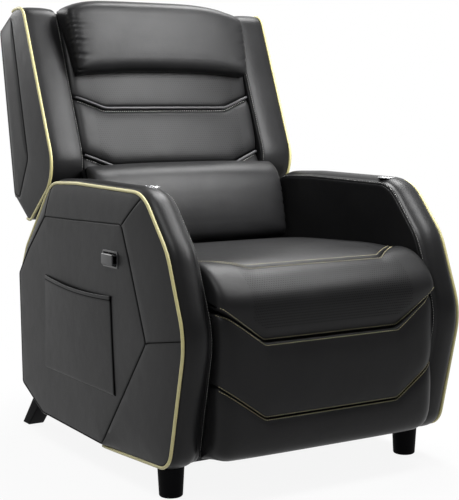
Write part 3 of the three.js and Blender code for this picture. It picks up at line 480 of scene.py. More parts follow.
def mesh_piece(name, points, faces, finish, attributes=None):
    """A piece of the chair from points in the frame."""
    mesh = bpy.data.meshes.new(name)
    mesh.from_pydata([tuple(p) for p in points], [], [tuple(f) for f in faces])
    mesh.validate()
    for key, values in (attributes or {}).items():
        layer = mesh.attributes.new(key, "FLOAT", "POINT")
        layer.data.foreach_set("value", np.asarray(values, np.float32))
    outward(mesh)
    mesh.polygons.foreach_set("use_smooth", [True] * len(mesh.polygons))
    mesh.materials.append(finishes()[finish])
    return linked(name, mesh)


def outward(mesh):
    work = bmesh.new()
    work.from_mesh(mesh)
    bmesh.ops.recalc_face_normals(work, faces=work.faces)
    work.to_mesh(mesh)
    work.free()


def declare(made, body, slot, *nodes, fill=None):
    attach(made, body)
    if nodes:
        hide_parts(*nodes)
    return made


def shares_to_side(shares, y, z, depth, height):
    return np.array([(y + along * depth, z + up * height) for along, up in shares])


def rounded(corners, radii, steps=16):
    """A closed outline with its corners turned into arcs, and the place of each arc's middle."""
    points, middles = [], []
    count = len(corners)
    for i, corner in enumerate(corners):
        back = corners[i - 1] - corner
        ahead = corners[(i + 1) % count] - corner
        long_back, long_ahead = np.linalg.norm(back), np.linalg.norm(ahead)
        back, ahead = back / long_back, ahead / long_ahead
        half = math.acos(np.clip(back @ ahead, -1, 1)) / 2
        reach = min(radii[i] / math.tan(half), long_back * 0.48, long_ahead * 0.48)
        radius = reach * math.tan(half)
        start = corner + back * reach
        way = (back + ahead) / np.linalg.norm(back + ahead)
        centre = corner + way * radius / math.sin(half)
        turn = (math.pi - 2 * half) * np.sign(back[0] * ahead[1] - back[1] * ahead[0])
        for k in range(steps + 1):
            angle = -turn * k / steps
            c, s = math.cos(angle), math.sin(angle)
            arm = start - centre
            points.append(centre + np.array([arm[0] * c - arm[1] * s, arm[0] * s + arm[1] * c]))
            if k == steps // 2:
                middles.append(len(points) - 1)
    return np.array(points), middles


class Loop:
    """A closed side outline that is followed by its own length."""

    def __init__(self, corners, radii):
        self.points, middles = rounded(corners, radii)
        ends = np.roll(self.points, -1, axis=0)
        steps = np.linalg.norm(ends - self.points, axis=1)
        self.places = np.concatenate([[0], np.cumsum(steps)])
        self.long = self.places[-1]
        self.marks = [self.places[i] for i in middles]
        closed = np.vstack([self.points, self.points[:1]])
        self.y, self.z = closed[:, 0], closed[:, 1]
        area = np.sum(self.points[:, 0] * ends[:, 1] - ends[:, 0] * self.points[:, 1])
        self.turn = 1.0 if area > 0 else -1.0

    def at(self, places):
        places = np.mod(places, self.long)
        return np.stack(
            [np.interp(places, self.places, self.y), np.interp(places, self.places, self.z)], axis=1
        )

    def normals(self, places, reach=0.002):
        along = self.at(np.asarray(places) + reach) - self.at(np.asarray(places) - reach)
        along /= np.maximum(np.linalg.norm(along, axis=1, keepdims=True), 1e-9)
        return np.stack([along[:, 1], -along[:, 0]], axis=1) * self.turn


NEAR_PLACES = (0.0, 0.0011, 0.0026, 0.0048, 0.008, 0.0125, 0.018, 0.025, 0.034)


def column_places(loop, between):
    """Places round a loop, close together beside each corner, with each corner's own column."""
    places, corner_columns, along_corner = [], [], []
    count = len(loop.marks)
    for i, start in enumerate(loop.marks):
        end = loop.marks[(i + 1) % count] + (loop.long if i == count - 1 else 0)
        scale = min(1.0, 0.42 * (end - start) / NEAR_PLACES[-1])
        near = [start + place * scale for place in NEAR_PLACES]
        far = [end - place * scale for place in NEAR_PLACES[:0:-1]]
        middle = list(np.linspace(near[-1], far[0], between + 2)[1:-1])
        corner_columns.append(len(places))
        run = near + middle + far
        places += run
        along_corner += [i + (place - start) / (end - start) for place in run]
    return np.array(places), corner_columns, np.array(along_corner)


def by_corner(values, along_corner):
    """Values given at corners, blended between them."""
    values = list(values) + [values[0]]
    return np.interp(along_corner, range(len(values)), values)


def shell(rings):
    """Points and faces of a closed skin over rings of equal counts."""
    count = len(rings[0])
    points = [p for ring in rings for p in ring]
    faces = []
    for r in range(len(rings) - 1):
        for k in range(count):
            n = (k + 1) % count
            a, b = r * count + k, r * count + n
            faces.append((a, b, b + count, a + count))
    for ring in (0, len(rings) - 1):
        points.append(np.mean(rings[ring], axis=0))
        hub, first = len(points) - 1, ring * count
        faces += [(first + k, first + (k + 1) % count, hub) for k in range(count)]
    return points, faces


def crease(distance, width):
    """How deep a seam's crease is at a distance from it, from 0 to 1."""
    return np.exp(-((np.abs(distance) / width) ** 1.6))


# Where a block's rings lie, from its inner face over the edge and the top to the raised panel
INNER_SHARES = (0.15, 0.4, 0.7, 0.93, 0.985)
EDGE_TURNS = (0, 12, 20, 24, 27, 29, 31, 34, 38, 50, 62, 76, 90)
SEAM_TURN, STITCH_TURN = 29, 38
TOP_SHARES = (0.04, 0.1, 0.2, 0.32, 0.45, 0.58, 0.7, 0.8, 0.88, 0.93, 0.96, 0.98, 0.995)
BAND_SHARES = (0.015, 0.05, 0.12, 0.25, 0.4, 0.55, 0.7, 0.82, 0.91)
RIM_STEPS = (0.0048, 0.0026, 0.0011, 0.0, -0.0011, -0.0026, -0.006)
PANEL_SHARES = (0.94, 0.85, 0.72, 0.55, 0.36, 0.16)
CORD_PLAY = 0.0003
FAR = 9.0  # stands for a column that no seam comes near


def drawn_in(sizes, x, z):
    """How far a block leans towards the middle at a height, where it has that size."""
    height = np.clip((z - sizes.bottom) / sizes.height, 0, 1)
    return getattr(sizes, "draw_in", 0) * (x / sizes.panel_plane) * height


def padded_block(name, sign, sizes, form):
    """An arm or a wing: round inner edge, swollen top, groove for the cord, sloping bands and a
    raised panel, with creases along the panel and between the bands, all painted with shade, as are the
    stitched seam and the cord's groove."""
    trim = bpy.context.scene.recliner_trim
    span = (sizes.front, sizes.bottom, sizes.depth, sizes.height)
    outer = outline_of(sizes, form)
    panel = Loop(shares_to_side(form["panel"], *span), form["panel_radii"])
    outer_places, corner_columns, along = column_places(outer, form["between"])
    panel_places, _, _ = column_places(panel, form["between"])
    edge, edge_way = outer.at(outer_places), outer.normals(outer_places)
    rim, rim_way = panel.at(panel_places), panel.normals(panel_places)
    soft = by_corner(form["soft"], along)[:, None]
    swell = by_corner(form["swell"], along)[:, None] * sizes.swell
    corded = (by_corner([1.0 if on else 0.0 for on in form["corded"]], along) > 0.02)[:, None]
    groove = trim.cord + CORD_PLAY
    columns = len(edge)
    seam_columns = np.full(columns, FAR)
    for corner in form["band_seams"]:
        start = corner_columns[corner]
        for step, distance in enumerate(NEAR_PLACES[:5]):
            seam_columns[(start + step) % columns] = distance
            seam_columns[(start - step) % columns] = distance
    band_crease = crease(seam_columns, trim.seam_width * 0.75)

    # Each ring's painted shade: darkness painted into creases, grooves and seams
    rings, painted_shade = [], []

    def ring(x, points, shade=0.0):
        xs = np.broadcast_to(np.asarray(x, float), (columns,))
        rings.append(np.column_stack([xs, points]))
        painted_shade.append(np.broadcast_to(np.asarray(shade, float), (columns,)))

    middle = edge.mean(axis=0)
    inner = edge - edge_way * sizes.edge * soft
    for share in INNER_SHARES:
        ring(0.0, middle + (inner - middle) * share)
    stitched = by_corner(form["stitched"], along)
    seamed = by_corner(form["seamed"], along)
    for turn in EDGE_TURNS:
        angle = math.radians(turn)
        sunk = crease(math.radians(turn - SEAM_TURN) * sizes.edge, 0.0009) * stitched
        fall = sizes.edge * (1 - math.sin(angle)) * soft + sunk[:, None] * 0.0010
        across = sizes.edge * (1 - math.cos(angle)) + sunk * 0.0006
        # The stitched seam's sunk crease is painted with shade
        ring(across, edge - edge_way * fall, sunk * 0.9)
    wall = sizes.cord_plane - groove
    for share in TOP_SHARES:
        rise = (1 - abs(2 * share - 1) ** (2.6 if share < 0.5 else 3.6)) * swell
        ring(sizes.edge + (wall - sizes.edge) * share, edge + edge_way * rise)
    tuck = np.where(corded, 0.0012, 0.0)
    ring(wall, edge - edge_way * tuck * 0.4)
    floor = edge - edge_way * np.where(corded, groove, 0.0)
    # The floor of the cord's groove is painted with shade
    ring(wall + 0.0004, floor, 0.9)
    lip = sizes.cord_plane + trim.cord / 2
    ring(lip, floor, 0.9)
    width = np.linalg.norm(rim - floor, axis=1)
    rise = sizes.panel_plane - lip
    for share in BAND_SHARES:
        full = sizes.facet_crown * (1 - abs(2 * share - 1) ** 2.2)
        x = lip + rise * share + full - trim.seam_depth * band_crease
        # The creases between the bands are painted with shade
        ring(x, floor + (rim - floor) * share, band_crease)
    for distance in RIM_STEPS:
        drop = crease(distance, trim.seam_width * 0.75)
        share = np.clip(distance / np.maximum(width, 1e-6), 0, 0.09)
        x = sizes.panel_plane - rise * share - trim.seam_depth * drop * seamed
        # The crease round the panel is painted with shade where the panel is seamed
        shade = np.maximum(drop * seamed, band_crease if distance > 0 else 0.0)
        out = np.minimum(distance, width * 0.08) if distance > 0 else np.full(columns, distance)
        ring(x, rim + rim_way * out[:, None], shade)
    heart = rim.mean(axis=0)
    for share in PANEL_SHARES:
        full = sizes.panel_crown * (1 - share**6)
        ring(sizes.panel_plane + full, heart + (rim + rim_way * RIM_STEPS[-1] - heart) * share)

    for line in rings:
        line[:, 0] -= drawn_in(sizes, line[:, 0], line[:, 2])
        line[:, 0] = sign * (line[:, 0] + sizes.inner)
    points, faces = shell(rings)
    # The painted shade goes to the mesh as its seam attribute
    shade = list(np.concatenate(painted_shade)) + [0.0, 0.0]
    return mesh_piece(name, placed(points), faces, "leather", {"seam": shade})


def outline_of(sizes, form):
    span = (sizes.front, sizes.bottom, sizes.depth, sizes.height)
    return Loop(shares_to_side(form["outline"], *span), form["radii"])


ARM_FORM = {
    "outline": [
        (0.98, 0.108), (0.993, 0.583), (0.945, 0.71), (0.76, 0.99), (0.596, 1), (0.2, 0.995),
        (0.0745, 0.798), (-0.009, 0.504), (0.071, 0.028), (0.33, 0.007), (0.427, 0), (0.823, 0.0105),
    ],
    "panel": [
        (0.97, 0.12), (0.981, 0.591), (0.907, 0.701), (0.785, 0.851), (0.596, 0.858), (0.298, 0.872),
        (0.241, 0.698), (0.168, 0.462), (0.298, 0.236), (0.39, 0.078), (0.427, 0.014), (0.823, 0.025),
    ],
    "radii": [v / 1000 for v in (18, 30, 60, 80, 300, 90, 150, 150, 50, 60, 60, 40)],
    "panel_radii": [v / 1000 for v in (12, 12, 20, 15, 200, 18, 60, 14, 60, 20, 15, 40)],
    "soft": [0.3, 0.6, 1, 1, 1, 1, 1, 0.9, 0.3, 0.3, 0.25, 0.25],
    "swell": [0, 0.5, 0.9, 1, 1, 1.1, 1.35, 1.35, 0.7, 0, 0, 0],
    "corded": [False] + [True] * 10 + [False],
    "band_seams": [3, 5, 7],
    "stitched": [0, 0.5, 1, 1, 1, 1, 1, 1, 1, 0.3, 0, 0],
    "seamed": [1] * 12,
    "between": 7,
}
WING_FORM = {
    "outline": [(0.708, 0.994), (1, 0.905), (0.77, 0.107), (0.504, 0), (0, 0.236), (0.544, 1)],
    "panel": [(0.76, 0.955), (0.965, 0.89), (0.755, 0.125), (0.66, 0.115), (0.475, 0.3), (0.735, 0.93)],
    "radii": [v / 1000 for v in (30, 15, 20, 25, 87, 55)],
    "panel_radii": [v / 1000 for v in (15, 12, 15, 8, 30, 12)],
    "soft": [0.6, 0.4, 0.4, 0.8, 1, 1],
    "swell": [0.5, 0, 0, 0.5, 1, 1],
    "corded": [True, False, False, True, True, True],
    "band_seams": [],
    "stitched": [1, 0, 0, 0, 1, 1],
    "seamed": [0.1, 0.0, 0.0, 0.9, 1, 1],
    "between": 14,
}


def edge_path(sign, sizes, form):
    """The cord's line along a block's outer edge, in the frame."""
    loop = outline_of(sizes, form)
    on = form["corded"]
    count = len(on)
    first = next(i for i in range(count) if on[i] and not on[i - 1])
    last = (first + sum(on) - 1) % count
    start, end = loop.marks[first], loop.marks[last]
    if end < start:
        end += loop.long
    side = loop.at(np.linspace(start - 0.012, end + 0.012, 260))
    x = np.full(len(side), sizes.cord_plane + CORD_PLAY)
    x = x - drawn_in(sizes, x, side[:, 1])
    return placed(np.column_stack([sign * (sizes.inner + x), side]))


# Geometry trees


def new_tree(name, inputs):
    tree = bpy.data.node_groups.new(name, "GeometryNodeTree")
    tree.interface.new_socket("Geometry", in_out="INPUT", socket_type="NodeSocketGeometry")
    for label, kind, default in inputs:
        socket = tree.interface.new_socket(label, in_out="INPUT", socket_type=f"NodeSocket{kind}")
        if default is not None:
            socket.default_value = default
    tree.interface.new_socket("Geometry", in_out="OUTPUT", socket_type="NodeSocketGeometry")
    made = Tree(tree)
    return made, made.node("NodeGroupInput")


def end_tree(tree, result, finish):
    real = tree.node("GeometryNodeRealizeInstances", Geometry=result)[0]
    done = tree.node("GeometryNodeSetMaterial", Geometry=real, Material=finish)[0]
    tree.node("NodeGroupOutput", Geometry=done)
    return tree.tree


def resampled(tree, mesh, step):
    """A line with its points at an even step."""
    line = tree.node("GeometryNodeMeshToCurve", Mesh=mesh)[0]
    return tree.node("GeometryNodeResampleCurve", {"mode": "LENGTH"}, Curve=line, Length=step)[0]


def stored(tree, geometry, kind, name, value):
    settings = {"data_type": kind, "domain": "POINT"}
    values = {"Geometry": geometry, "Name": name, "Value": value}
    return tree.wired("GeometryNodeStoreNamedAttribute", settings, values)[0]


def turned_to(tree, way):
    return tree.node("FunctionNodeAlignRotationToVector", {"axis": "Z"}, Vector=way)[0]


def cord_tree():
    """Sweeps a round section along a line, with a measure along it for the material."""
    if "edge cord" in bpy.data.node_groups:
        return bpy.data.node_groups["edge cord"]
    tree, start = new_tree(
        "edge cord",
        [("Radius", "Float", 0.0035), ("Spacing", "Float", 0.004), ("Finish", "Material", None)],
    )
    even = resampled(tree, start["Geometry"], start["Spacing"])
    place = tree.node("GeometryNodeSplineParameter")["Length"]
    marked = stored(tree, even, "FLOAT", "along", place)
    ring = tree.node("GeometryNodeCurvePrimitiveCircle", Resolution=14, Radius=start["Radius"])[0]
    swept = tree.node("GeometryNodeCurveToMesh", Curve=marked, Profile_Curve=ring, Fill_Caps=True)
    smooth = tree.node("GeometryNodeSetShadeSmooth", Geometry=swept[0])[0]
    return end_tree(tree, smooth, start["Finish"])


def stitch_tree():
    """Lays a thread's stitches along a line at an even pitch."""
    if "stitches" in bpy.data.node_groups:
        return bpy.data.node_groups["stitches"]
    tree, start = new_tree(
        "stitches",
        [
            ("Pitch", "Float", 0.0046),
            ("Length", "Float", 0.0034),
            ("Thickness", "Float", 0.001),
            ("Finish", "Material", None),
        ],
    )
    even = resampled(tree, start["Geometry"], start["Pitch"])
    bead = tree.node("GeometryNodeMeshUVSphere", Segments=6, Rings=4, Radius=0.5)[0]
    soft = tree.node("GeometryNodeSetShadeSmooth", Geometry=bead)[0]
    turn = turned_to(tree, tree.node("GeometryNodeInputTangent")[0])
    thick = start["Thickness"]
    scale = tree.node("ShaderNodeCombineXYZ", X=thick, Y=thick, Z=start["Length"])[0]
    values = {"Points": even, "Instance": soft, "Rotation": turn, "Scale": scale}
    laid = tree.wired("GeometryNodeInstanceOnPoints", None, values)[0]
    return end_tree(tree, laid, start["Finish"])


def hole_tree():
    """Lays staggered rows of small near-black discs, painted shade in place of holes, where a grid of
    rays meets a cushion.
    """
    if "perforations" in bpy.data.node_groups:
        return bpy.data.node_groups["perforations"]
    tree, start = new_tree(
        "perforations",
        [
            ("Surface", "Object", None),
            ("Width", "Float", 0.34),
            ("Height", "Float", 0.12),
            ("Pitch", "Float", 0.005),
            ("Radius", "Float", 0.0007),
            ("Place", "Vector", None),
            ("Tilt", "Vector", None),
            ("Middle", "Float", 0.0),
            ("Flat", "Float", 0.17),
            ("Slope", "Float", 0.4),
            ("Low", "Float", 0.0),
            ("High", "Float", 1.0),
            ("Finish", "Material", None),
        ],
    )
    rows = start["Height"] / (start["Pitch"] * 0.866)
    across = start["Width"] / start["Pitch"]
    size = {"Size X": start["Width"], "Size Y": start["Height"]}
    counts = {"Vertices X": across, "Vertices Y": rows}
    grid = tree.wired("GeometryNodeMeshGrid", None, {**size, **counts})[0]
    spot = tree.node("ShaderNodeSeparateXYZ", Vector=tree.node("GeometryNodeInputPosition")[0])
    row = (spot["Y"] / start["Height"] * rows).sum("ROUND")
    shift = row.sum("MODULO", 2.0).size() * start["Pitch"] * 0.5
    offset = tree.node("ShaderNodeCombineXYZ", X=shift)[0]
    staggered = tree.node("GeometryNodeSetPosition", Geometry=grid, Offset=offset)[0]
    moves = {"Translation": start["Place"], "Rotation": start["Tilt"]}
    facing = tree.wired("GeometryNodeTransform", None, {"Geometry": staggered, **moves})[0]
    surface = tree.node("GeometryNodeObjectInfo", Object=start["Surface"])["Geometry"]
    down = {"Vector": (0.0, 0.0, -1.0), "Rotation": start["Tilt"]}
    way = tree.wired("ShaderNodeVectorRotate", {"rotation_type": "EULER_XYZ"}, down)[0]
    aim = {"Target Geometry": surface, "Ray Direction": way, "Ray Length": 0.3}
    ray = tree.wired("GeometryNodeRaycast", None, aim)
    met = ray["Hit Position"]
    at = tree.node("ShaderNodeSeparateXYZ", Vector=met)
    past = ((at["X"] - start["Middle"]).size() - start["Flat"]).sum("MAXIMUM", 0.0)
    climb = past * start["Slope"]
    above = at["Z"].sum("GREATER_THAN", start["Low"] + climb)
    below = at["Z"].sum("LESS_THAN", start["High"] + climb)
    inside = above * below * ray["Is Hit"]
    kept = tree.wired(
        "GeometryNodeDeleteGeometry",
        {"domain": "POINT"},
        {"Geometry": facing, "Selection": inside.sum("LESS_THAN", 0.5)},
    )[0]
    # Each hole is a flat near-black disc on the surface: painted shade, not a cut
    disc = {"Vertices": 6, "Side Segments": 1, "Radius": start["Radius"], "Depth": 0.0005}
    painted_hole_disc = tree.wired("GeometryNodeMeshCylinder", None, disc)[0]
    turned = stored(tree, kept, "QUATERNION", "turn", turned_to(tree, ray["Hit Normal"]))
    moved = tree.node("GeometryNodeSetPosition", Geometry=turned, Position=met)[0]
    kind = {"data_type": "QUATERNION"}
    read = tree.node("GeometryNodeInputNamedAttribute", kind, Name="turn")[0]
    values = {"Points": moved, "Instance": painted_hole_disc, "Rotation": read}
    holes = tree.wired("GeometryNodeInstanceOnPoints", None, values)[0]
    return end_tree(tree, holes, start["Finish"])


def grown(name, tree, source, values):
    """The mesh that a geometry tree makes from a source mesh, as a plain piece."""
    seed = linked(f"{name}_seed", source)
    modifier = seed.modifiers.new("Tree", "NODES")
    modifier.node_group = tree
    for item in tree.interface.items_tree:
        if item.in_out == "INPUT" and item.name in values:
            modifier[item.identifier] = values[item.name]
    bpy.context.view_layer.update()
    mesh = evaluated(seed)
    bpy.data.objects.remove(seed)
    mesh.name = name
    return linked(name, mesh)


def line_mesh(name, lines):
    """Open lines as edges only."""
    points, edges = [], []
    for line in lines:
        base = len(points)
        points += [tuple(p) for p in line]
        edges += [(base + k, base + k + 1) for k in range(len(line) - 1)]
    mesh = bpy.data.meshes.new(name)
    mesh.from_pydata(points, edges, [])
    return mesh


def cord_piece(name, path, radius, finish="cord"):
    values = {"Radius": radius, "Spacing": 0.004, "Finish": finishes()[finish]}
    return grown(name, cord_tree(), line_mesh(name, [path]), values)


def stitch_piece(name, lines, finish, long=None, thick=None):
    trim = bpy.context.scene.recliner_trim
    values = {
        "Pitch": trim.stitch_pitch,
        "Length": long or trim.stitch_length,
        "Thickness": thick or trim.stitch_thick,
        "Finish": finishes()[finish],
    }
    return grown(name, stitch_tree(), line_mesh(name, lines), values)


# Cushions


def seam_rise(x, rise):
    sizes = bpy.context.scene.recliner_cushion
    share = (np.abs(x) - sizes.line_flat) / (sizes.line_full - sizes.line_flat)
    return rise * np.clip(share, 0, 1)


class LeaningBase:
    """A straight line that leans back from a foot point."""

    def __init__(self, foot, lean, offset=0.0):
        self.along = np.array([math.sin(lean), math.cos(lean)])
        self.outward = np.array([-math.cos(lean), math.sin(lean)])
        self.start = np.array(foot) + self.outward * offset

    def at(self, places):
        places = np.atleast_1d(places)
        points = self.start + places[:, None] * self.along
        return points, np.broadcast_to(self.outward, points.shape)


class CurvedBase:
    """A smooth line through points, followed by its own length."""

    def __init__(self, points, samples=600):
        points = np.array(points, float)
        ghost = np.vstack([2 * points[0] - points[1], points, 2 * points[-1] - points[-2]])
        t = np.linspace(0, len(points) - 1 - 1e-9, samples)
        cell = t.astype(int)
        u = (t - cell)[:, None]
        p0, p1, p2, p3 = (ghost[cell + k] for k in range(4))
        v0, v1 = (p2 - p0) * 0.5, (p3 - p1) * 0.5
        self.points = (
            (2 * p1 - 2 * p2 + v0 + v1) * u**3
            + (-3 * p1 + 3 * p2 - 2 * v0 - v1) * u**2
            + v0 * u
            + p1
        )
        steps = np.linalg.norm(np.diff(self.points, axis=0), axis=1)
        self.places = np.concatenate([[0], np.cumsum(steps)])
        self.long = self.places[-1]

    def at(self, places):
        places = np.atleast_1d(places)
        spot = [np.interp(places, self.places, self.points[:, k]) for k in (0, 1)]
        ahead = [np.interp(places + 0.001, self.places, self.points[:, k]) for k in (0, 1)]
        behind = [np.interp(places - 0.001, self.places, self.points[:, k]) for k in (0, 1)]
        along = np.stack([ahead[0] - behind[0], ahead[1] - behind[1]], axis=1)
        along /= np.maximum(np.linalg.norm(along, axis=1, keepdims=True), 1e-9)
        return np.stack(spot, axis=1), np.stack([along[:, 1], -along[:, 0]], axis=1)

    def where(self, axis, value):
        falling = self.points[:, axis]
        return float(self.places[int(np.argmin(np.where(falling <= value, falling * 0, 1)))])


def spread(*runs):
    """Shares from 0 to 1, close together at both ends."""
    half = np.array(runs)
    return np.concatenate([half, 1 - half[::-1][1 if half[-1] == 0.5 else 0 :]])


ZONE_SHARES = spread(0, 0.008, 0.02, 0.04, 0.07, 0.11, 0.16, 0.22, 0.29, 0.36, 0.43, 0.5)


END_STEPS = (0, 0.0015, 0.004, 0.008, 0.013, 0.019, 0.026, 0.035, 0.046)
END_REACH = 0.058
WELT_SHARES = np.array([0.12, 0.3, 0.5, 0.7, 0.88, 1.0])
WELT_SWELL = 0.0080


class Cushion:
    """A cushion as sections across the chair: a face of crowned zones between seams, and a back."""

    def __init__(self, form):
        self.form = form
        half = form["half"]
        inner = np.linspace(half - END_REACH, 0, 22)
        right = np.concatenate([half - np.array(END_STEPS), inner])
        self.stations = np.concatenate([-right, right[-2::-1]])

    def fall(self, x):
        form = self.form
        radius, half = form["end_radius"], form["half"]
        into = np.clip((abs(x) - (half - radius)) / radius, 0, 1)
        return radius * (1 - math.sqrt(max(0.0, 1 - into * into))) * form["end_share"]

    def rounding(self, x):
        """How far a section draws in close to its end, all the way round."""
        reach = self.form.get("cap_radius", 0.006)
        into = np.clip((abs(x) - (self.form["half"] - reach)) / reach, 0, 1)
        return reach * (1 - math.sqrt(max(0.0, 1 - into * into)))

    def face(self, x):
        """Points of the face's section at x, with how deep each is in a seam and how much painted shade
        it takes there.
        """
        form = self.form
        lines = form["lines"](x)
        fall = self.fall(x)
        across = 1 - (x / form["half"]) ** 4
        welt = form.get("welt", 0.0)
        shares = form.get("shares", ZONE_SHARES)
        points, cuts, painted_shades = [], [], []
        for zone in range(len(lines) - 1):
            banded = welt and zone < len(lines) - 2
            start, end = lines[zone], lines[zone + 1] - (welt if banded else 0.0)
            use = shares if zone == 0 else shares[1:]
            at = start + (end - start) * use
            power = np.where(use < 0.5, form["power"], form.get("upper_power", form["power"]))
            swell = form["crowns"][zone] * (1 - np.abs(2 * use - 1) ** power)
            if banded:
                at = np.concatenate([at, end + welt * WELT_SHARES])
                band = WELT_SWELL * (1 - np.abs(2 * WELT_SHARES - 1) ** 3)
                swell = np.concatenate([swell, band])
            spots, outs = form["base"].at(at)
            if "swell" in form:
                swell = swell * form["swell"](x)
            rise = swell + across * form["bow"] - fall
            points.append(spots + outs * rise[:, None])
            cut, painted_shade = np.zeros(len(at)), np.zeros(len(at))
            # Painted shade along each seam line, and along the welt's lower crease on the back
            for line in lines[1:-1]:
                cut += crease(at - line, form["seam_width"] * 1.3) * form["seam_depth"]
                painted_shade += crease(at - line, form["seam_width"]) * form["seam_shade"]
                if welt:
                    cut += crease(at - line + welt, 0.0016) * 0.0022
                    painted_shade += crease(at - line + welt, 0.0011) * 0.5
            cuts.append(cut)
            painted_shades.append(painted_shade)
        return np.concatenate(points), np.concatenate(cuts), np.concatenate(painted_shades)

    def build(self):
        """Rings of points, and each point's seam depth, seam shade and how firmly it is held."""
        rings, cuts, painted_shades, holds = [], [], [], []
        for x in self.stations:
            points, cut, painted_shade = self.face(x)
            back = np.array(self.form["back"](x, points))
            loop = np.vstack([points, back])
            draw = self.rounding(x)
            if draw:
                ends, starts = np.roll(loop, -1, axis=0), np.roll(loop, 1, axis=0)
                along = ends - starts
                along /= np.maximum(np.linalg.norm(along, axis=1, keepdims=True), 1e-9)
                area = np.sum(loop[:, 0] * ends[:, 1] - ends[:, 0] * loop[:, 1])
                inward = np.stack([-along[:, 1], along[:, 0]], axis=1) * np.sign(area)
                loop = loop + inward * draw
            rings.append(np.column_stack([np.full(len(loop), x), loop]))
            none = np.zeros(len(back))
            cuts.append(np.concatenate([cut, none]))
            painted_shades.append(np.concatenate([painted_shade, none]))
            end = 1.0 if self.form["half"] - abs(x) < 0.003 else 0.0
            hold = np.clip(cut / 0.0015, 0, 1)
            hold[:2] = hold[-2:] = 1.0
            holds.append(np.concatenate([np.maximum(hold, end), none + 1.0]))
        return rings, cuts, painted_shades, holds


def build_cushion(name, form, finish):
    """The cushion's mesh, filled by the cloth solver between its held seams."""
    cushion = Cushion(form)
    rings, cuts, painted_shades, holds = cushion.build()
    points, faces = shell(rings)
    points = np.array(points)
    if "warp" in form:
        points = form["warp"](points)
    cut, painted_shade, held = (np.concatenate([*values, [0.0, 0.0]]) for values in (cuts, painted_shades, holds))
    held[-2:] = 1.0
    # The seam attribute carries the painted shade of the creases
    made = mesh_piece(name, placed(points), faces, finish, {"seam": np.minimum(1.0, painted_shade)})
    fill_with_cloth(made, form, held)
    ways = np.array([v.normal[:] for v in made.data.vertices])
    spots = np.array([v.co[:] for v in made.data.vertices])
    spots -= ways * cut[:, None]
    made.data.vertices.foreach_set("co", spots.ravel())
    made.data.update()
    return made, cushion


def weights_near(tree, spot, count):
    found = tree.find_n(spot, count)
    weights = np.array([1 / (far + 1e-4) for _, _, far in found])
    return [index for _, index, _ in found], weights / weights.sum()


def point_tree(points):
    tree = KDTree(len(points))
    for k, spot in enumerate(points):
        tree.insert(spot, k)
    tree.balance()
    return tree


def fill_with_cloth(made, form, held):
    """Blows a remeshed copy up with the cloth solver and carries its shape over to the piece."""
    sizes = bpy.context.scene.recliner_cushion
    scene = bpy.context.scene
    copy = linked(f"{made.name}_cloth", made.data.copy())
    remesh = copy.modifiers.new("Grid", "REMESH")
    remesh.mode, remesh.voxel_size = "VOXEL", form["voxel"]
    mesh = evaluated(copy)
    copy.modifiers.clear()
    copy.data = mesh
    rest = np.array([v.co[:] for v in mesh.vertices])
    cover = np.array([v.co[:] for v in made.data.vertices])
    tree = point_tree(cover)
    group = copy.vertex_groups.new(name="held")
    for k, spot in enumerate(rest):
        near, weights = weights_near(tree, spot, 3)
        firm = float(np.dot(held[near], weights))
        if firm > 0.02:
            group.add([k], min(1.0, firm), "REPLACE")
    cloth = copy.modifiers.new("Cover", "CLOTH")
    settings = cloth.settings
    settings.use_pressure = True
    settings.uniform_pressure_force = form["pressure"]
    settings.effector_weights.gravity = 0
    settings.vertex_group_mass = "held"
    settings.pin_stiffness = 1.0
    settings.quality = 4
    settings.tension_stiffness = settings.compression_stiffness = 12.0
    settings.shear_stiffness = 6.0
    settings.bending_stiffness = 0.6
    cloth.collision_settings.use_collision = False
    cloth.point_cache.frame_start, cloth.point_cache.frame_end = 1, sizes.frames
    for step in range(1, sizes.frames + 1):
        scene.frame_set(step)
    graph = bpy.context.evaluated_depsgraph_get()
    blown = copy.evaluated_get(graph).to_mesh()
    moved = np.array([v.co[:] for v in blown.vertices]) - rest
    reach = np.linalg.norm(moved, axis=1, keepdims=True)
    moved *= np.minimum(1.0, form["cap"] / np.maximum(reach, 1e-9))
    finder = point_tree(rest)
    shift = np.zeros_like(cover)
    for k, spot in enumerate(cover):
        near, weights = weights_near(finder, spot, 6)
        shift[k] = weights @ moved[near]
    out = np.abs(cover[:, 0] - MIDDLE_X)
    shift *= np.clip((out.max() - out) / form["calm"], 0, 1)[:, None]
    far = np.linalg.norm(shift, axis=1).max() * 1000
    print(f"{made.name}: {len(rest)} points, the cloth moved up to {far:.1f} mm")
    made.data.vertices.foreach_set("co", (cover + shift * form["take"]).ravel())
    made.data.update()
    scene.frame_set(1)
    bpy.data.objects.remove(copy)


def surface_of(made):
    return BVHTree.FromObject(made, bpy.context.evaluated_depsgraph_get())


def on_surface(tree, points, lift):
    """Points brought onto a surface and lifted off it."""
    out = []
    for point in points:
        spot, normal, _, _ = tree.find_nearest(Vector(point))
        out.append(tuple(spot + normal * lift))
    return out


def seam_row(made, cushion, line, offset, reach, lift=0.0003, above=0.0):
    """A row beside a cushion's seam, offset along its face, brought down from above it."""
    tree = surface_of(made)
    points = []
    for x in np.linspace(-reach, reach, 240):
        place = cushion.form["lines"](x)[line] + offset
        spot, way = cushion.form["base"].at(place)
        bow = cushion.form["bow"] * (1 - (x / cushion.form["half"]) ** 4)
        spot = spot[0] + way[0] * bow
        spot = spot + way[0] * (above - cushion.fall(x))
        points.append((x, *spot))
    return on_surface(tree, placed(points), lift)


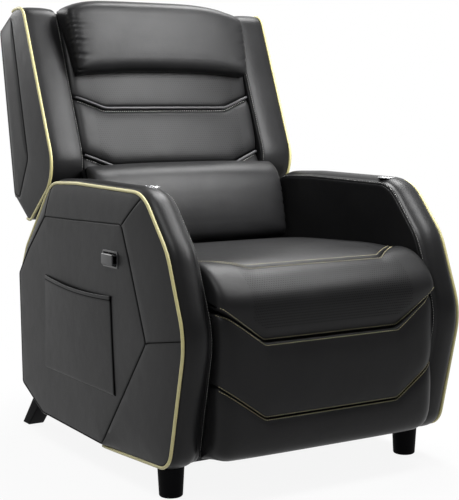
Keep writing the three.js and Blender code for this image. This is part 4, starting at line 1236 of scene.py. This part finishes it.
# The cushions' lines in the side view, and how the cloth solver fills them
BACK_FOOT = (0.108, 0.372)
BACK_LEAN = math.radians(18.7)
BACK_TOP = 1.018
REAR_FOOT_Y = 0.225
REAR_LEAN = math.radians(14.2)
SEAT_HALF = FOOT_HALF = 0.278
SEAT_UNDER = 0.3556
ROLL_BOTTOM = 0.333
PAD_BOTTOM, PAD_SEAM, PAD_REAR = 0.090, 0.174, -0.4153
HEAD = (0.239, 0.872, 1.042)  # half width, low and high edge
LUMBAR = (0.262, 0.458, 0.648)
PILLOW_PLAY, UPPER_CROWN_SHARE = 0.0033, 0.7
CLOTH = {"pressure": 4.0, "cap": 0.022, "take": 0.2, "calm": 0.012}
PLAIN_SEAM = {"seam_width": 0.0020, "seam_depth": 0.0028, "seam_shade": 0.9}


def along_back(z):
    return (z - BACK_FOOT[1]) / math.cos(BACK_LEAN)


def rear_line(z):
    return REAR_FOOT_Y + (z - BACK_FOOT[1]) * math.tan(REAR_LEAN)


def back_form():
    sizes = bpy.context.scene.recliner_cushion
    crown, lift = sizes.back_crown, 0.006

    def back(x, face):
        return [
            (rear_line(BACK_TOP) - 0.018, BACK_TOP + 0.006),
            (rear_line(BACK_TOP), BACK_TOP),
            *((rear_line(z), z) for z in (0.8, 0.6, BACK_FOOT[1])),
        ]

    return {
        "half": 0.2515,
        "end_radius": 0.020,
        "end_share": 0.6,
        "bow": 0.003,
        "power": 5,
        "upper_power": 5,
        "crowns": [crown - lift, crown - lift, crown * UPPER_CROWN_SHARE - lift],
        "base": LeaningBase(BACK_FOOT, BACK_LEAN, lift),
        "lines": lambda x: [
            0.0,
            along_back(sizes.lower_v + seam_rise(x, sizes.lower_rise)),
            along_back(sizes.upper_v + seam_rise(x, sizes.upper_rise)),
            (BACK_TOP - BACK_FOOT[1]) / math.cos(BACK_LEAN),
        ],
        "back": back,
        "welt": 0.0085,
        "seam_width": 0.0019,
        "seam_depth": 0.005,
        "seam_shade": 0.95,
        "voxel": sizes.voxel,
        **CLOTH,
    }


def seat_form():
    sizes = bpy.context.scene.recliner_cushion
    base = CurvedBase(
        [
            (0.085, 0.466), (-0.100, 0.474), (-0.300, 0.482), (-0.380, 0.478),
            (-0.425, 0.456), (-0.463, 0.415), (-0.465, 0.375), (-0.457, ROLL_BOTTOM - 0.002),
        ]
    )
    front = base.where(0, -0.400)

    def back(x, face):
        low = face[-1][1]
        return [
            (-0.440, low - 0.004),
            (-0.405, low),
            (-0.397, low + 0.008),
            *((y, SEAT_UNDER) for y in (-0.397, -0.2, 0.0, 0.085)),
            (0.087, 0.41),
        ]

    return {
        "half": SEAT_HALF,
        "end_radius": 0.018,
        "end_share": 0.6,
        "bow": 0.003,
        "power": 4,
        "crowns": [0.006, 0.008],
        "base": base,
        "lines": lambda x: [
            0.0,
            front - seam_rise(x, 0.085),
            base.where(1, ROLL_BOTTOM + seam_rise(x, sizes.line_rise)),
        ],
        "back": back,
        "voxel": sizes.voxel,
        **PLAIN_SEAM,
        **CLOTH,
    }


def foot_form():
    sizes = bpy.context.scene.recliner_cushion
    base = CurvedBase(
        [
            (-0.440, 0.417), (-0.458, 0.395), (-0.466, 0.353), (-0.466, PAD_SEAM),
            (-0.458, 0.116), (-0.440, PAD_BOTTOM),
        ]
    )
    lower = base.where(1, PAD_SEAM)

    def back(x, face):
        wraps = abs(x) > 0.2505
        rear = PAD_REAR + (0.029 if wraps else 0.0)
        high = face[0][1]
        return [
            (rear - 0.004, 0.086),
            (rear, PAD_BOTTOM),
            (rear, 0.5 * (PAD_BOTTOM + high)),
            (rear, high - 0.006),
            (rear - 0.006, high),
        ]

    return {
        "half": FOOT_HALF,
        "end_radius": 0.042,
        "end_share": 0.7,
        "bow": 0.003,
        "power": 4,
        "crowns": [0.008, 0.008],
        "base": base,
        "lines": lambda x: [
            base.where(1, ROLL_BOTTOM - 0.0050 + seam_rise(x, sizes.line_rise)),
            lower - seam_rise(x, sizes.line_rise),
            base.long,
        ],
        "back": back,
        "cap_radius": 0.010,
        "voxel": sizes.voxel,
        **PLAIN_SEAM,
        **CLOTH,
    }


def wave_shares(count):
    """Shares from 0 to 1, drawn together towards both ends."""
    return np.sin(np.linspace(-math.pi / 2, math.pi / 2, count)) * 0.5 + 0.5


def pillow_form(place, deep, offset, seam, powers, end_power, end_thick, rows):
    half, low, high = place
    base = LeaningBase(BACK_FOOT, BACK_LEAN, offset)

    def back(x, face):
        points, _ = base.at(np.linspace(along_back(high), along_back(low), 6))
        return [tuple(p) for p in points]

    def swell(x):
        share = min(1.0, abs(x) / half)
        ends = max(0.0, 1 - share**end_power) ** (1 / 2.2)
        return end_thick + (1 - end_thick) * ends

    return {
        "half": half,
        "end_radius": 0.020,
        "end_share": 0.0,
        "bow": 0.0,
        "power": powers[0],
        "upper_power": powers[1],
        "crowns": [deep - seam],
        "swell": swell,
        "base": LeaningBase(BACK_FOOT, BACK_LEAN, offset + seam),
        "lines": lambda x: [along_back(low), along_back(high)],
        "back": back,
        "cap_radius": 0.009,
        "shares": wave_shares(rows),
        "voxel": bpy.context.scene.recliner_cushion.pillow_voxel,
        **CLOTH,
    }


def gathers(points, place, side, pitch, reach, depth):
    """Small folds that run in from the seam at one end of a pillow."""
    half, low, high = place
    points = np.array(points)
    into = np.maximum(0.0, half - points[:, 0] * side)
    fold = np.abs(np.sin(math.pi * points[:, 2] / pitch + 2.2 * np.sin(points[:, 2] * 31)))
    along = np.clip((points[:, 2] - low) / (high - low), 0, 1)
    amount = depth * (0.55 + 0.45 * np.sin(points[:, 2] * 173)) * np.sin(math.pi * along) ** 0.35
    fade = np.exp(-((into / reach) ** 1.5)) * np.clip(into / 0.004, 0, 1)
    ahead = points[:, 1] < np.median(points[:, 1]) + 0.02
    points[:, 1] += amount * fade * (1 - fold) * 1.6 * ahead
    points[:, 0] += side * amount * fade * fold * 0.6 * ahead
    return points


def end_and_height(points, place):
    """How near each point is to a pillow's end, and how high up it is, both from 0 to 1."""
    half, low, high = place
    share = np.clip(np.abs(points[:, 0]) / half, 0, 1)
    return share, np.clip((points[:, 2] - low) / (high - low), 0, 1)


def thinned(points, place, share, power, hang):
    """Draws a pillow's face towards the back cushion and lets it hang, most at its lower seam."""
    base = LeaningBase(BACK_FOOT, BACK_LEAN)
    _, up = end_and_height(points, place)
    rise = (points[:, 1:] - base.start) @ base.outward
    drop = np.maximum(0, rise - 0.018) * share * (1 - up) ** power
    points[:, 1:] -= drop[:, None] * base.outward
    points[:, 2] -= hang * np.clip((rise - 0.022) / 0.05, 0, 1) * (1 - up) ** 2
    return points


def head_warp(points):
    """Arches the head pillow's top, lets its ends hang and widens it upwards."""
    points = thinned(np.array(points), HEAD, 0.50, 1.2, 0.013)
    share, up = end_and_height(points, HEAD)
    left = points[:, 0] < 0
    points[:, 2] -= np.where(left, 0.024 * share**7, 0.032 * share**3.2) * up
    points[:, 2] -= 0.007 * share**2.5 * (1 - up)
    points[:, 2] += 0.004 * (1 - share**2) * (1 - up)
    points = gathers(points, HEAD, -1, 0.0135, 0.014, 0.0065)
    points = gathers(points, HEAD, 1, 0.0155, 0.014, 0.0025)
    points[:, 0] *= 1 + np.where(left, 0.085, -0.015) * up
    return points


def lumbar_warp(points):
    """Lets the lumbar pillow's ends drop a little and gathers them."""
    points = thinned(np.array(points), LUMBAR, 0.35, 1.7, 0.004)
    share, up = end_and_height(points, LUMBAR)
    points[:, 2] -= 0.006 * share**3 * up
    for side in (-1, 1):
        points = gathers(points, LUMBAR, side, 0.017, 0.018, 0.0022)
    return points


def refined(node, name, finish, bevel, segments=3):
    """A piece from a copy of a hard CAD solid, with its edges eased."""
    work = bmesh.new()
    work.from_mesh(frame["nodes"][node].data)
    bmesh.ops.remove_doubles(work, verts=work.verts, dist=1e-6)
    flat = math.radians(0.5)
    bmesh.ops.dissolve_limit(work, angle_limit=flat, verts=work.verts, edges=work.edges)
    made = linked(name, work_mesh(name, work))
    ease = made.modifiers.new("Ease", "BEVEL")
    ease.width, ease.segments, ease.limit_method = bevel, segments, "ANGLE"
    ease.angle_limit = math.radians(28)
    ease.use_clamp_overlap = True
    eased = evaluated(made)
    made.modifiers.clear()
    made.data = eased
    eased.materials.clear()
    eased.materials.append(finishes()[finish])
    eased.shade_smooth()
    eased.set_sharp_from_angle(angle=math.radians(40))
    return made


def carved(made, cutters):
    """Cuts closed tools out of a piece."""
    for k, cutter in enumerate(cutters):
        cut = made.modifiers.new(f"Cut{k}", "BOOLEAN")
        cut.operation, cut.solver, cut.object = "DIFFERENCE", "EXACT", cutter
    mesh = evaluated(made)
    made.modifiers.clear()
    mesh.set_sharp_from_angle(angle=math.radians(50))
    made.data = mesh
    for cutter in cutters:
        bpy.data.objects.remove(cutter)
    return made


def box_tool(low, high):
    work = bmesh.new()
    size = Vector(high) - Vector(low)
    place = Matrix.Translation((Vector(low) + Vector(high)) / 2) @ Matrix.Diagonal((*size, 1))
    bmesh.ops.create_cube(work, size=1, matrix=place)
    return linked("tool", work_mesh("tool", work))


def round_tool(centre, radius, low, high):
    work = bmesh.new()
    place = Matrix.Translation((centre[0], centre[1], (low + high) / 2))
    size = {"radius1": radius, "radius2": radius, "depth": high - low}
    bmesh.ops.create_cone(work, cap_ends=True, segments=48, matrix=place, **size)
    return linked("tool", work_mesh("tool", work))


def lathe(name, profile, centre, finish):
    """A turned piece about an upright axis, from its (radius, height) profile."""
    angles = np.linspace(0, 2 * math.pi, 48, endpoint=False)
    rings = []
    for radius, height in profile:
        x, y = centre[0] + radius * np.cos(angles), centre[1] + radius * np.sin(angles)
        rings.append(np.column_stack([x, y, np.full(len(angles), height)]))
    points, faces = shell(rings)
    made = mesh_piece(name, points, faces, finish)
    made.data.set_sharp_from_angle(angle=math.radians(50))
    return made


class RECLINER_OT_arms(bpy.types.Operator):
    """Both padded arms, with the hollow for the release and the legs"""

    bl_idname = "recliner.arms"
    bl_label = "Arms"

    def execute(self, context):
        sizes = context.scene.recliner_arm
        for hand, sign in HANDS:
            made = padded_block(f"arm_{hand}_leather", sign, sizes, ARM_FORM)
            low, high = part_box(f"front_leg_{hand}")
            middle, radius = (low + high) / 2, (high.x - low.x) / 2
            tools = [round_tool(middle, radius + 0.0004, -0.01, high.z + 0.0004)]
            if sign < 0:
                low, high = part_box("paddle_bezel")
                lip, play = 0.002, 0.0003
                start = (low.x - 0.01, low.y + lip - play, low.z + lip - play)
                end = (high.x + play, high.y - lip + play, high.z - lip + play)
                tools.append(box_tool(start, end))
            carved(made, tools)
            declare(made, "base", "leather", f"arm_{hand}", fill=0.95)
        return {"FINISHED"}


class RECLINER_OT_wings(bpy.types.Operator):
    """The two wings of the back"""

    bl_idname = "recliner.wings"
    bl_label = "Wings"

    def execute(self, context):
        sizes = context.scene.recliner_wing
        for hand, sign in HANDS:
            made = padded_block(f"wing_{hand}_leather", sign, sizes, WING_FORM)
            declare(made, "back", "leather", f"wing_{hand}", fill=0.9)
        return {"FINISHED"}


class RECLINER_OT_cords(bpy.types.Operator):
    """The gold cord along the arms and the wings"""

    bl_idname = "recliner.cords"
    bl_label = "Edge cords"

    def execute(self, context):
        radius = context.scene.recliner_trim.cord
        jobs = (
            ("arm", context.scene.recliner_arm, ARM_FORM, "base"),
            ("wing", context.scene.recliner_wing, WING_FORM, "back"),
        )
        for place, sizes, form, body in jobs:
            for hand, sign in HANDS:
                path = edge_path(sign, sizes, form)
                made = cord_piece(f"{place}_cord_{hand}_gold", path, radius)
                outward(made.data)
                declare(made, body, "cord", f"{place}_cord_{hand}")
        return {"FINISHED"}


class RECLINER_OT_back(bpy.types.Operator):
    """The back cushion with its two V seams"""

    bl_idname = "recliner.back"
    bl_label = "Back cushion"

    def execute(self, context):
        made, cushion = build_cushion("back_cushion_leather", back_form(), "leather_cushion")
        declare(made, "back", "leather", "back_cushion", fill=0.75)
        rows = []
        for line, name in ((1, "lower"), (2, "upper")):
            rows.append(seam_row(made, cushion, line, -0.0115, 0.236))
            path = seam_row(made, cushion, line, -0.0045, 0.244, lift=0.0004, above=0.012)
            # The piping's lighter leather paints a highlight on the welt
            piping = cord_piece(f"back_piping_{name}", path, 0.0032, "leather_piping")
            declare(piping, "back", "leather")
        stitches = stitch_piece("back_stitches", rows, "thread_grey", long=0.0032, thick=0.0019)
        declare(stitches, "back", "leather")
        return {"FINISHED"}


class RECLINER_OT_seat(bpy.types.Operator):
    """The seat cushion and its front roll"""

    bl_idname = "recliner.seat"
    bl_label = "Seat cushion"

    def execute(self, context):
        made, cushion = build_cushion("seat_cushion_leather", seat_form(), "leather_cushion")
        declare(made, "seat", "leather", "seat_cushion", fill=0.85)
        rows = [
            seam_row(made, cushion, 1, -0.0092, 0.262),
            seam_row(made, cushion, 1, 0.0080, 0.262),
            seam_row(made, cushion, 2, -0.0038, 0.272),
        ]
        stitches = stitch_piece("seat_stitches", rows, "thread_gold")
        declare(stitches, "seat", "leather")
        return {"FINISHED"}


class RECLINER_OT_footrest(bpy.types.Operator):
    """The padded footrest"""

    bl_idname = "recliner.footrest"
    bl_label = "Footrest pad"

    def execute(self, context):
        made, cushion = build_cushion("foot_pad_leather", foot_form(), "leather_cushion")
        declare(made, "footrest", "leather", "foot_pad", fill=0.85)
        rows = [
            seam_row(made, cushion, 0, 0.0042, 0.272),
            seam_row(made, cushion, 1, -0.0048, 0.270),
            seam_row(made, cushion, 1, 0.0048, 0.270),
        ]
        stitches = stitch_piece("foot_stitches", rows, "thread_gold")
        declare(stitches, "footrest", "leather")
        return {"FINISHED"}


class RECLINER_OT_pillows(bpy.types.Operator):
    """The lumbar pillow and the head pillow"""

    bl_idname = "recliner.pillows"
    bl_label = "Pillows"

    def execute(self, context):
        crown = context.scene.recliner_cushion.back_crown
        offset = crown + PILLOW_PLAY
        lumbar = pillow_form(LUMBAR, 0.068, offset, 0.026, (16, 4.2), 26, 0.45, 64)
        lumbar["warp"] = lumbar_warp
        made, _ = build_cushion("lumbar_pillow_leather", lumbar, "leather_pillow")
        declare(made, "back", "leather", "lumbar_pillow", fill=0.8)
        offset = crown * UPPER_CROWN_SHARE + PILLOW_PLAY
        head = pillow_form(HEAD, 0.072, offset, 0.010, (14, 8), 40, 0.6, 150)
        head["warp"] = head_warp
        head["calm"] = 0.060
        made, _ = build_cushion("head_pillow_leather", head, "leather_pillow")
        declare(made, "back", "leather", "head_pillow", fill=0.7)
        return {"FINISHED"}


class RECLINER_OT_rear_cover(bpy.types.Operator):
    """The cover that closes the back"""

    bl_idname = "recliner.rear_cover"
    bl_label = "Rear cover"

    def execute(self, context):
        made = refined("rear_cover", "rear_cover_leather", "leather", 0.004, 4)
        declare(made, "back", "leather", "rear_cover", fill=0.95)
        return {"FINISHED"}


# The pocket's upper and lower corner at each end, in the side view, and its cloth and hem
POCKET_REAR = np.array([(0.165, 0.409), (0.174, 0.189)])
POCKET_FRONT = np.array([(-0.173, 0.401), (-0.187, 0.188)])
POCKET_TALL, POCKET_WIDE, POCKET_SAG, POCKET_WALL = 0.215, 0.35, 0.008, 0.0018
HEM_SEAM, HEM_LOW, HEM_THICK = 0.959, 0.966, 0.0008


class RECLINER_OT_pocket(bpy.types.Operator):
    """The storage pocket on the right arm"""

    bl_idname = "recliner.pocket"
    bl_label = "Side pocket"

    def execute(self, context):
        low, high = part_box("side_pocket")
        deep = high.x - low.x - 0.0005
        plane, wall = high.x, POCKET_WALL
        us = spread(0, 0.004, 0.009, 0.015, 0.024, 0.04, 0.07, 0.12, 0.2, 0.3, 0.4, 0.5)
        low_vs, middle_vs = [0, 0.006, 0.013, 0.022, 0.035, 0.06], np.linspace(0.1, 0.9, 17)
        high_vs = [0.93, 0.951, HEM_SEAM, HEM_LOW, 0.973, 0.985, 0.995, 1.0]
        vs = np.concatenate([low_vs, middle_vs, high_vs])
        outer, inner, shade = [], [], []
        for v in vs:
            for u in us:
                top, bottom = POCKET_REAR * (1 - u) + POCKET_FRONT * u
                sag = POCKET_SAG * math.sin(math.pi * u) * v**3
                y, z = bottom * (1 - v) + top * v
                side = min(u, 1 - u) * POCKET_WIDE
                rise = min(1.0, side / 0.0035) ** 0.5
                rise *= min(1.0, (v * POCKET_TALL + 0.0002) / 0.0045) ** 0.5
                body = 0.36 + 0.64 * (math.sin(math.pi * u) ** 0.6) * (0.30 + 0.70 * v)
                hem = HEM_THICK * (1 / (1 + math.exp(-(v - HEM_LOW) * 600)))
                x = deep * rise * body + hem
                outer.append((plane - MIDDLE_X - x, y, z - sag))
                inner.append((plane - MIDDLE_X - max(0.0002, x - wall - hem), y, z - sag))
                # Painted shade: a dark line at the hem's fold and along both sides, where the pocket
                # meets the arm
                fold = crease((v - HEM_SEAM) * POCKET_TALL, 0.0014)
                shade.append(fold + crease(side - 0.001, 0.0032))
        columns, rows = len(us), len(vs)
        for k, (x, y, z) in enumerate(inner):
            v, u = divmod(k, columns)
            y += (wall if u < 1 else 0) - (wall if u > columns - 2 else 0)
            inner[k] = (x, y, z + (wall if v < 1 else 0))
        faces = []
        total = columns * rows
        for v in range(rows - 1):
            for u in range(columns - 1):
                a = v * columns + u
                faces.append((a, a + 1, a + 1 + columns, a + columns))
                b = total + a
                faces.append((b, b + columns, b + 1 + columns, b + 1))
        rim = [(v * columns, (v + 1) * columns) for v in range(rows - 1)]
        last = (rows - 1) * columns
        rim += [(last + u, last + u + 1) for u in range(columns - 1)]
        last = columns - 1
        rim += [((v + 1) * columns + last, v * columns + last) for v in range(rows - 1)]
        rim += [(u + 1, u) for u in range(columns - 1)]
        faces += [(a, b, total + b, total + a) for a, b in rim]
        points, pocket_painted_shade = placed(outer + inner), {"seam": shade + shade}
        made = mesh_piece("side_pocket_leather", points, faces, "leather", pocket_painted_shade)
        declare(made, "base", "leather", "side_pocket", fill=0.1)
        return {"FINISHED"}


class RECLINER_OT_release(bpy.types.Operator):
    """The release: its cup and the paddle"""

    bl_idname = "recliner.release"
    bl_label = "Release"

    def execute(self, context):
        cup = refined("paddle_bezel", "paddle_bezel_eased", "release_plastic", 0.0007)
        declare(cup, "base", "release", "paddle_bezel")
        paddle = refined("release_paddle", "release_paddle_eased", "release_plastic", 0.0009)
        declare(paddle, "paddle", "release", "release_paddle")
        return {"FINISHED"}


# The badge's turned profile: shares of its radius or depths into its rim, with their heights
BADGE_FOOT = ((0.3, 0.0),)
BADGE_RIM = (
    (0.0006, 0.0), (0.0, 0.0006), (0.0, 0.0015), (0.0003, 0.0021), (0.001, 0.0024),
    (0.0032, 0.0024), (0.0036, 0.0018), (0.0046, 0.0018), (0.005, 0.0023),
)
BADGE_FACE = (
    (0.5, 0.0024), (0.46, 0.0019), (0.42, 0.0019), (0.38, 0.0024), (0.15, 0.00245),
)


class RECLINER_OT_badges(bpy.types.Operator):
    """A small round metal badge on each arm"""

    bl_idname = "recliner.badges"
    bl_label = "Badges"

    def execute(self, context):
        for hand, _ in HANDS:
            low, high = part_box(f"arm_badge_{hand}")
            middle, radius = (low + high) / 2, (high.x - low.x) / 2
            profile = [(radius * share, low.z + up) for share, up in BADGE_FOOT]
            profile += [(radius - into, low.z + up) for into, up in BADGE_RIM]
            profile += [(radius * share, low.z + up) for share, up in BADGE_FACE]
            made = lathe(f"arm_badge_{hand}_metal", profile, middle, "badge_metal")
            declare(made, "base", "badge", f"arm_badge_{hand}")
        return {"FINISHED"}


class RECLINER_OT_legs(bpy.types.Operator):
    """Two round front legs and two raked rear legs"""

    bl_idname = "recliner.legs"
    bl_label = "Legs"

    def execute(self, context):
        for hand, _ in HANDS:
            low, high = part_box(f"front_leg_{hand}")
            middle, top = (low + high) / 2, high.z
            wide, ease, taper = (high.x - low.x) / 2, 0.0045, 0.06
            foot = wide - 0.003
            profile = [(foot * 0.4, 0.0), (foot - ease, 0.0)]
            for k in range(1, 7):
                turn = math.pi / 2 * k / 6
                profile.append((foot - ease + ease * math.sin(turn), ease - ease * math.cos(turn)))
            for share in (0.3, 0.6, 1.0):
                profile.append((foot + (wide - foot) * share, ease + (taper - ease) * share))
            profile += [(wide, top - 0.001), (wide - 0.001, top), (wide * 0.4, top)]
            made = lathe(f"front_leg_{hand}_lacquer", profile, middle, "leg_lacquer")
            declare(made, "base", "leg", f"front_leg_{hand}")
            made = refined(f"rear_leg_{hand}", f"rear_leg_{hand}_lacquer", "leg_lacquer", 0.0016)
            declare(made, "base", "leg", f"rear_leg_{hand}")
        return {"FINISHED"}


# How far the edge stitching stays from the corners where it starts and stops
STITCH_START, STITCH_STOP = 0.01, 0.03


class RECLINER_OT_edge_stitching(bpy.types.Operator):
    """Top stitching along the inner edges of the arms and wings"""

    bl_idname = "recliner.edge_stitching"
    bl_label = "Edge stitching"

    def execute(self, context):
        jobs = (
            ("arm", context.scene.recliner_arm, ARM_FORM, 3, 8, "base"),
            ("wing", context.scene.recliner_wing, WING_FORM, 4, 5, "back"),
        )
        for place, sizes, form, first, last, body in jobs:
            loop = outline_of(sizes, form)
            start, end = loop.marks[first] + STITCH_START, loop.marks[last] - STITCH_STOP
            side = loop.at(np.linspace(start, end, 300))
            into = sizes.edge * (1 - math.cos(math.radians(STITCH_TURN)))
            for hand, sign in HANDS:
                made = bpy.data.objects[f"{place}_{hand}_leather"]
                path = np.column_stack([np.full(len(side), sign * (sizes.inner + into)), side])
                rows = [on_surface(surface_of(made), placed(path), 0.0002)]
                name = f"{place}_stitches_{hand}"
                declare(stitch_piece(name, rows, "thread_grey", thick=0.0007), body, "leather")
        return {"FINISHED"}


# The grid of holes: its width, what it has over a zone's height, where it starts its way to
# the surface, and the margins to the zone's lower and upper seam
HOLES_WIDE, HOLES_MORE, HOLES_AHEAD, HOLES_ABOVE = 0.40, 0.12, 0.1, 0.03
HOLES_FROM_LOW, HOLES_FROM_HIGH = 0.012, 0.014


class RECLINER_OT_perforations(bpy.types.Operator):
    """Small near-black discs, painted shade for holes, in the middle zones of the back and the roll"""

    bl_idname = "recliner.perforations"
    bl_label = "Perforations"

    def execute(self, context):
        trim = context.scene.recliner_trim
        sizes = context.scene.recliner_cushion
        back = bpy.data.objects["back_cushion_leather"]
        seat = bpy.data.objects["seat_cushion_leather"]
        slope = sizes.lower_rise / (sizes.line_full - sizes.line_flat)
        roll = sizes.line_rise / (sizes.line_full - sizes.line_flat)
        lean = math.pi / 2 - BACK_LEAN
        zones = (
            ("middle", back, 0.19, 0.16, sizes.lower_v, sizes.upper_v, slope, lean, "back"),
            ("upper", back, 0.235, 0.10, sizes.upper_v, 0.885, slope, lean, "back"),
            ("roll", seat, -0.46, 0.16, 0.345, 0.486, roll, math.radians(65), "seat"),
        )
        for name, surface, y, tall, low, high, rise, tilt, body in zones:
            z = (low + high) / 2
            place = (MIDDLE_X, SIDE_Y + y - HOLES_AHEAD, z + HOLES_ABOVE)
            values = {
                "Surface": surface,
                "Width": HOLES_WIDE,
                "Height": tall + HOLES_MORE,
                "Pitch": trim.hole_pitch,
                "Radius": trim.hole_radius,
                "Place": place,
                "Tilt": (tilt, 0.0, 0.0),
                "Middle": MIDDLE_X,
                "Flat": sizes.line_flat,
                "Slope": rise,
                "Low": low + HOLES_FROM_LOW,
                "High": high - HOLES_FROM_HIGH,
                "Finish": finishes()["hole"],
            }
            made = grown(f"perforations_{name}", hole_tree(), line_mesh("seed", []), values)
            declare(made, body, "leather")
        return {"FINISHED"}


class RECLINER_OT_mechanism(bpy.types.Operator):
    """Finishes for the frame, the webbing and the linkages"""

    bl_idname = "recliner.mechanism"
    bl_label = "Frame and mechanism"

    def execute(self, context):
        by_slot = {
            "frame_wood": "frame_wood",
            "mechanism": "mechanism_steel",
            "webbing": "webbing",
            "pin": "pin_steel",
            "leather": "leather",
            "release": "release_plastic",
            "leg": "leg_lacquer",
            "cord": "cord",
            "badge": "badge_metal",
        }
        wrapped = ("base_front", "base_rear", "foot_board", "back_post", "back_rail")
        for item in frame["record"]["subparts"]:
            made = frame["nodes"][item["node"]]
            lined = item["node"].startswith(wrapped)
            finish = finishes()["lining" if lined else by_slot[item["material_slot"]]]
            if made.data.materials:
                for k in range(len(made.data.materials)):
                    made.data.materials[k] = finish
            else:
                made.data.materials.append(finish)
        return {"FINISHED"}


# The photograph's camera: its sensor in mm, its focal length in picture rows, its place and turn
SENSOR, FOCAL_ROWS, PHOTO_ROWS = 36.0, 1294.9, 500
CAMERA_PLACE, CAMERA_ANGLES = (-1.582, -2.59159, 0.813), (83.389, 0.0, -32.041)


def lamp(name, way, far, size, glow, target, spread=180):
    """A soft lamp: its direction from the target, distance, size, brightness as seen and spread."""
    data = bpy.data.lights.new(name, "AREA")
    data.shape, data.size, data.size_y = "RECTANGLE", size[0], size[1]
    data.energy = glow * math.pi * size[0] * size[1]
    data.spread = math.radians(spread)
    made = linked(name, data)
    made.location = Vector(target) + Vector(way).normalized() * far
    made.rotation_euler = (-Vector(way)).to_track_quat("-Z", "Y").to_euler()
    made.visible_camera = False


def seen_by(path):
    """1 for rays from the camera, mirrored or let through, 0 for rays that only carry light."""
    return (path["Is Camera Ray"] + path["Is Glossy Ray"] + path["Is Transmission Ray"]).clamped()


class RECLINER_OT_studio(bpy.types.Operator):
    """Floor, lamps, world and the photograph's camera"""

    bl_idname = "recliner.studio"
    bl_label = "Studio"

    def execute(self, context):
        scene = context.scene
        scene.view_settings.view_transform = "Standard"
        world = bpy.data.worlds.new("studio")
        world.use_nodes = True
        world.node_tree.nodes.clear()
        scene.world = world
        tree = Tree(world.node_tree)
        path = tree.node("ShaderNodeLightPath")
        seen = seen_by(path)
        place = tree.node("ShaderNodeTexCoord")["Generated"]
        split = tree.node("ShaderNodeSeparateXYZ", Vector=place)
        rear = (split["Y"] * 0.9 + 0.3).clamped()
        white = colour((1.0, 1.0, 1.0))
        mirrored = tree.mix(rear, colour((0.42, 0.42, 0.42)), white)
        shown = tree.mix(path["Is Glossy Ray"], white, mirrored)
        sky = tree.mix(seen, colour((0.30, 0.30, 0.31)), shown)
        back = tree.node("ShaderNodeBackground", Color=sky, Strength=1.0)
        tree.node("ShaderNodeOutputWorld", Surface=back[0])

        made, tree = material("studio_floor")
        place = object_place(tree)
        away = tree.wired("ShaderNodeVectorMath", {"operation": "LENGTH"}, {0: place})
        far = ((away["Value"] - 0.7) / 0.8).clamped() * 0.10 + 0.90
        path = tree.node("ShaderNodeLightPath")
        seen = seen_by(path)
        tint = colour(scene.recliner_finish.floor)
        matte = tree.node("ShaderNodeBsdfDiffuse", Color=tint, Roughness=0.6)
        glow = tree.node("ShaderNodeEmission", Color=white, Strength=1.0)
        both = tree.wired("ShaderNodeMixShader", None, {0: far * seen, 1: matte[0], 2: glow[0]})
        tree.node("ShaderNodeOutputMaterial", Surface=both[0])
        work = bmesh.new()
        bmesh.ops.create_grid(work, x_segments=8, y_segments=8, size=9.0)
        floor = linked("studio_floor", work_mesh("studio_floor", work))
        floor.data.materials.append(made)

        lamp("key", (0.36, -0.78, 0.52), 0.9, (0.46, 0.72), 12.8, (0.0, 0.2, 0.78), 120)
        lamp("overhead", (0.70, 0.30, 1.60), 1.8, (0.8, 0.9), 22.0, (0.0, 0.0, 0.6))
        lamp("left", (-0.70, -0.50, 0.90), 1.5, (0.7, 0.7), 9.0, (0.0, 0.0, 0.7))
        lamp("rear_left", (-0.44, 0.86, 0.30), 2.2, (1.2, 0.9), 5.0, (0.0, 0.0, 0.9))

        camera = bpy.data.cameras.new("camera")
        camera.sensor_fit, camera.sensor_height = "VERTICAL", SENSOR
        camera.lens = SENSOR * FOCAL_ROWS / PHOTO_ROWS
        view = linked("camera", camera)
        view.location = CAMERA_PLACE
        view.rotation_euler = [math.radians(angle) for angle in CAMERA_ANGLES]
        scene.camera = view
        return {"FINISHED"}


class RECLINER_PT_panel(bpy.types.Panel):
    """Lists the recliner's pieces and sizes"""

    bl_idname = "RECLINER_PT_panel"
    bl_label = "Recliner"
    bl_space_type = "VIEW_3D"
    bl_region_type = "UI"
    bl_category = "Recliner"

    def draw(self, context):
        for name in STEPS:
            self.layout.operator(f"recliner.{name}")
        for group, kind in GROUPS.items():
            box = self.layout.box()
            box.label(text=kind.__name__)
            for key in kind.__annotations__:
                box.prop(getattr(context.scene, group), key)


OPERATORS = (
    RECLINER_OT_studio,
    RECLINER_OT_mechanism,
    RECLINER_OT_arms,
    RECLINER_OT_wings,
    RECLINER_OT_cords,
    RECLINER_OT_back,
    RECLINER_OT_seat,
    RECLINER_OT_footrest,
    RECLINER_OT_pillows,
    RECLINER_OT_rear_cover,
    RECLINER_OT_pocket,
    RECLINER_OT_release,
    RECLINER_OT_badges,
    RECLINER_OT_legs,
    RECLINER_OT_edge_stitching,
    RECLINER_OT_perforations,
)
STEPS = [operator.bl_idname.split(".")[1] for operator in OPERATORS]


def register():
    for kind in (*GROUPS.values(), *OPERATORS, RECLINER_PT_panel):
        bpy.utils.register_class(kind)
    for name, kind in GROUPS.items():
        setattr(bpy.types.Scene, name, PointerProperty(type=kind))


def unregister():
    for name in GROUPS:
        delattr(bpy.types.Scene, name)
    for kind in reversed((*GROUPS.values(), *OPERATORS, RECLINER_PT_panel)):
        bpy.utils.unregister_class(kind)


def main():
    register()
    for name in STEPS:
        getattr(bpy.ops.recliner, name)()


if __name__ == "__main__":
    main()
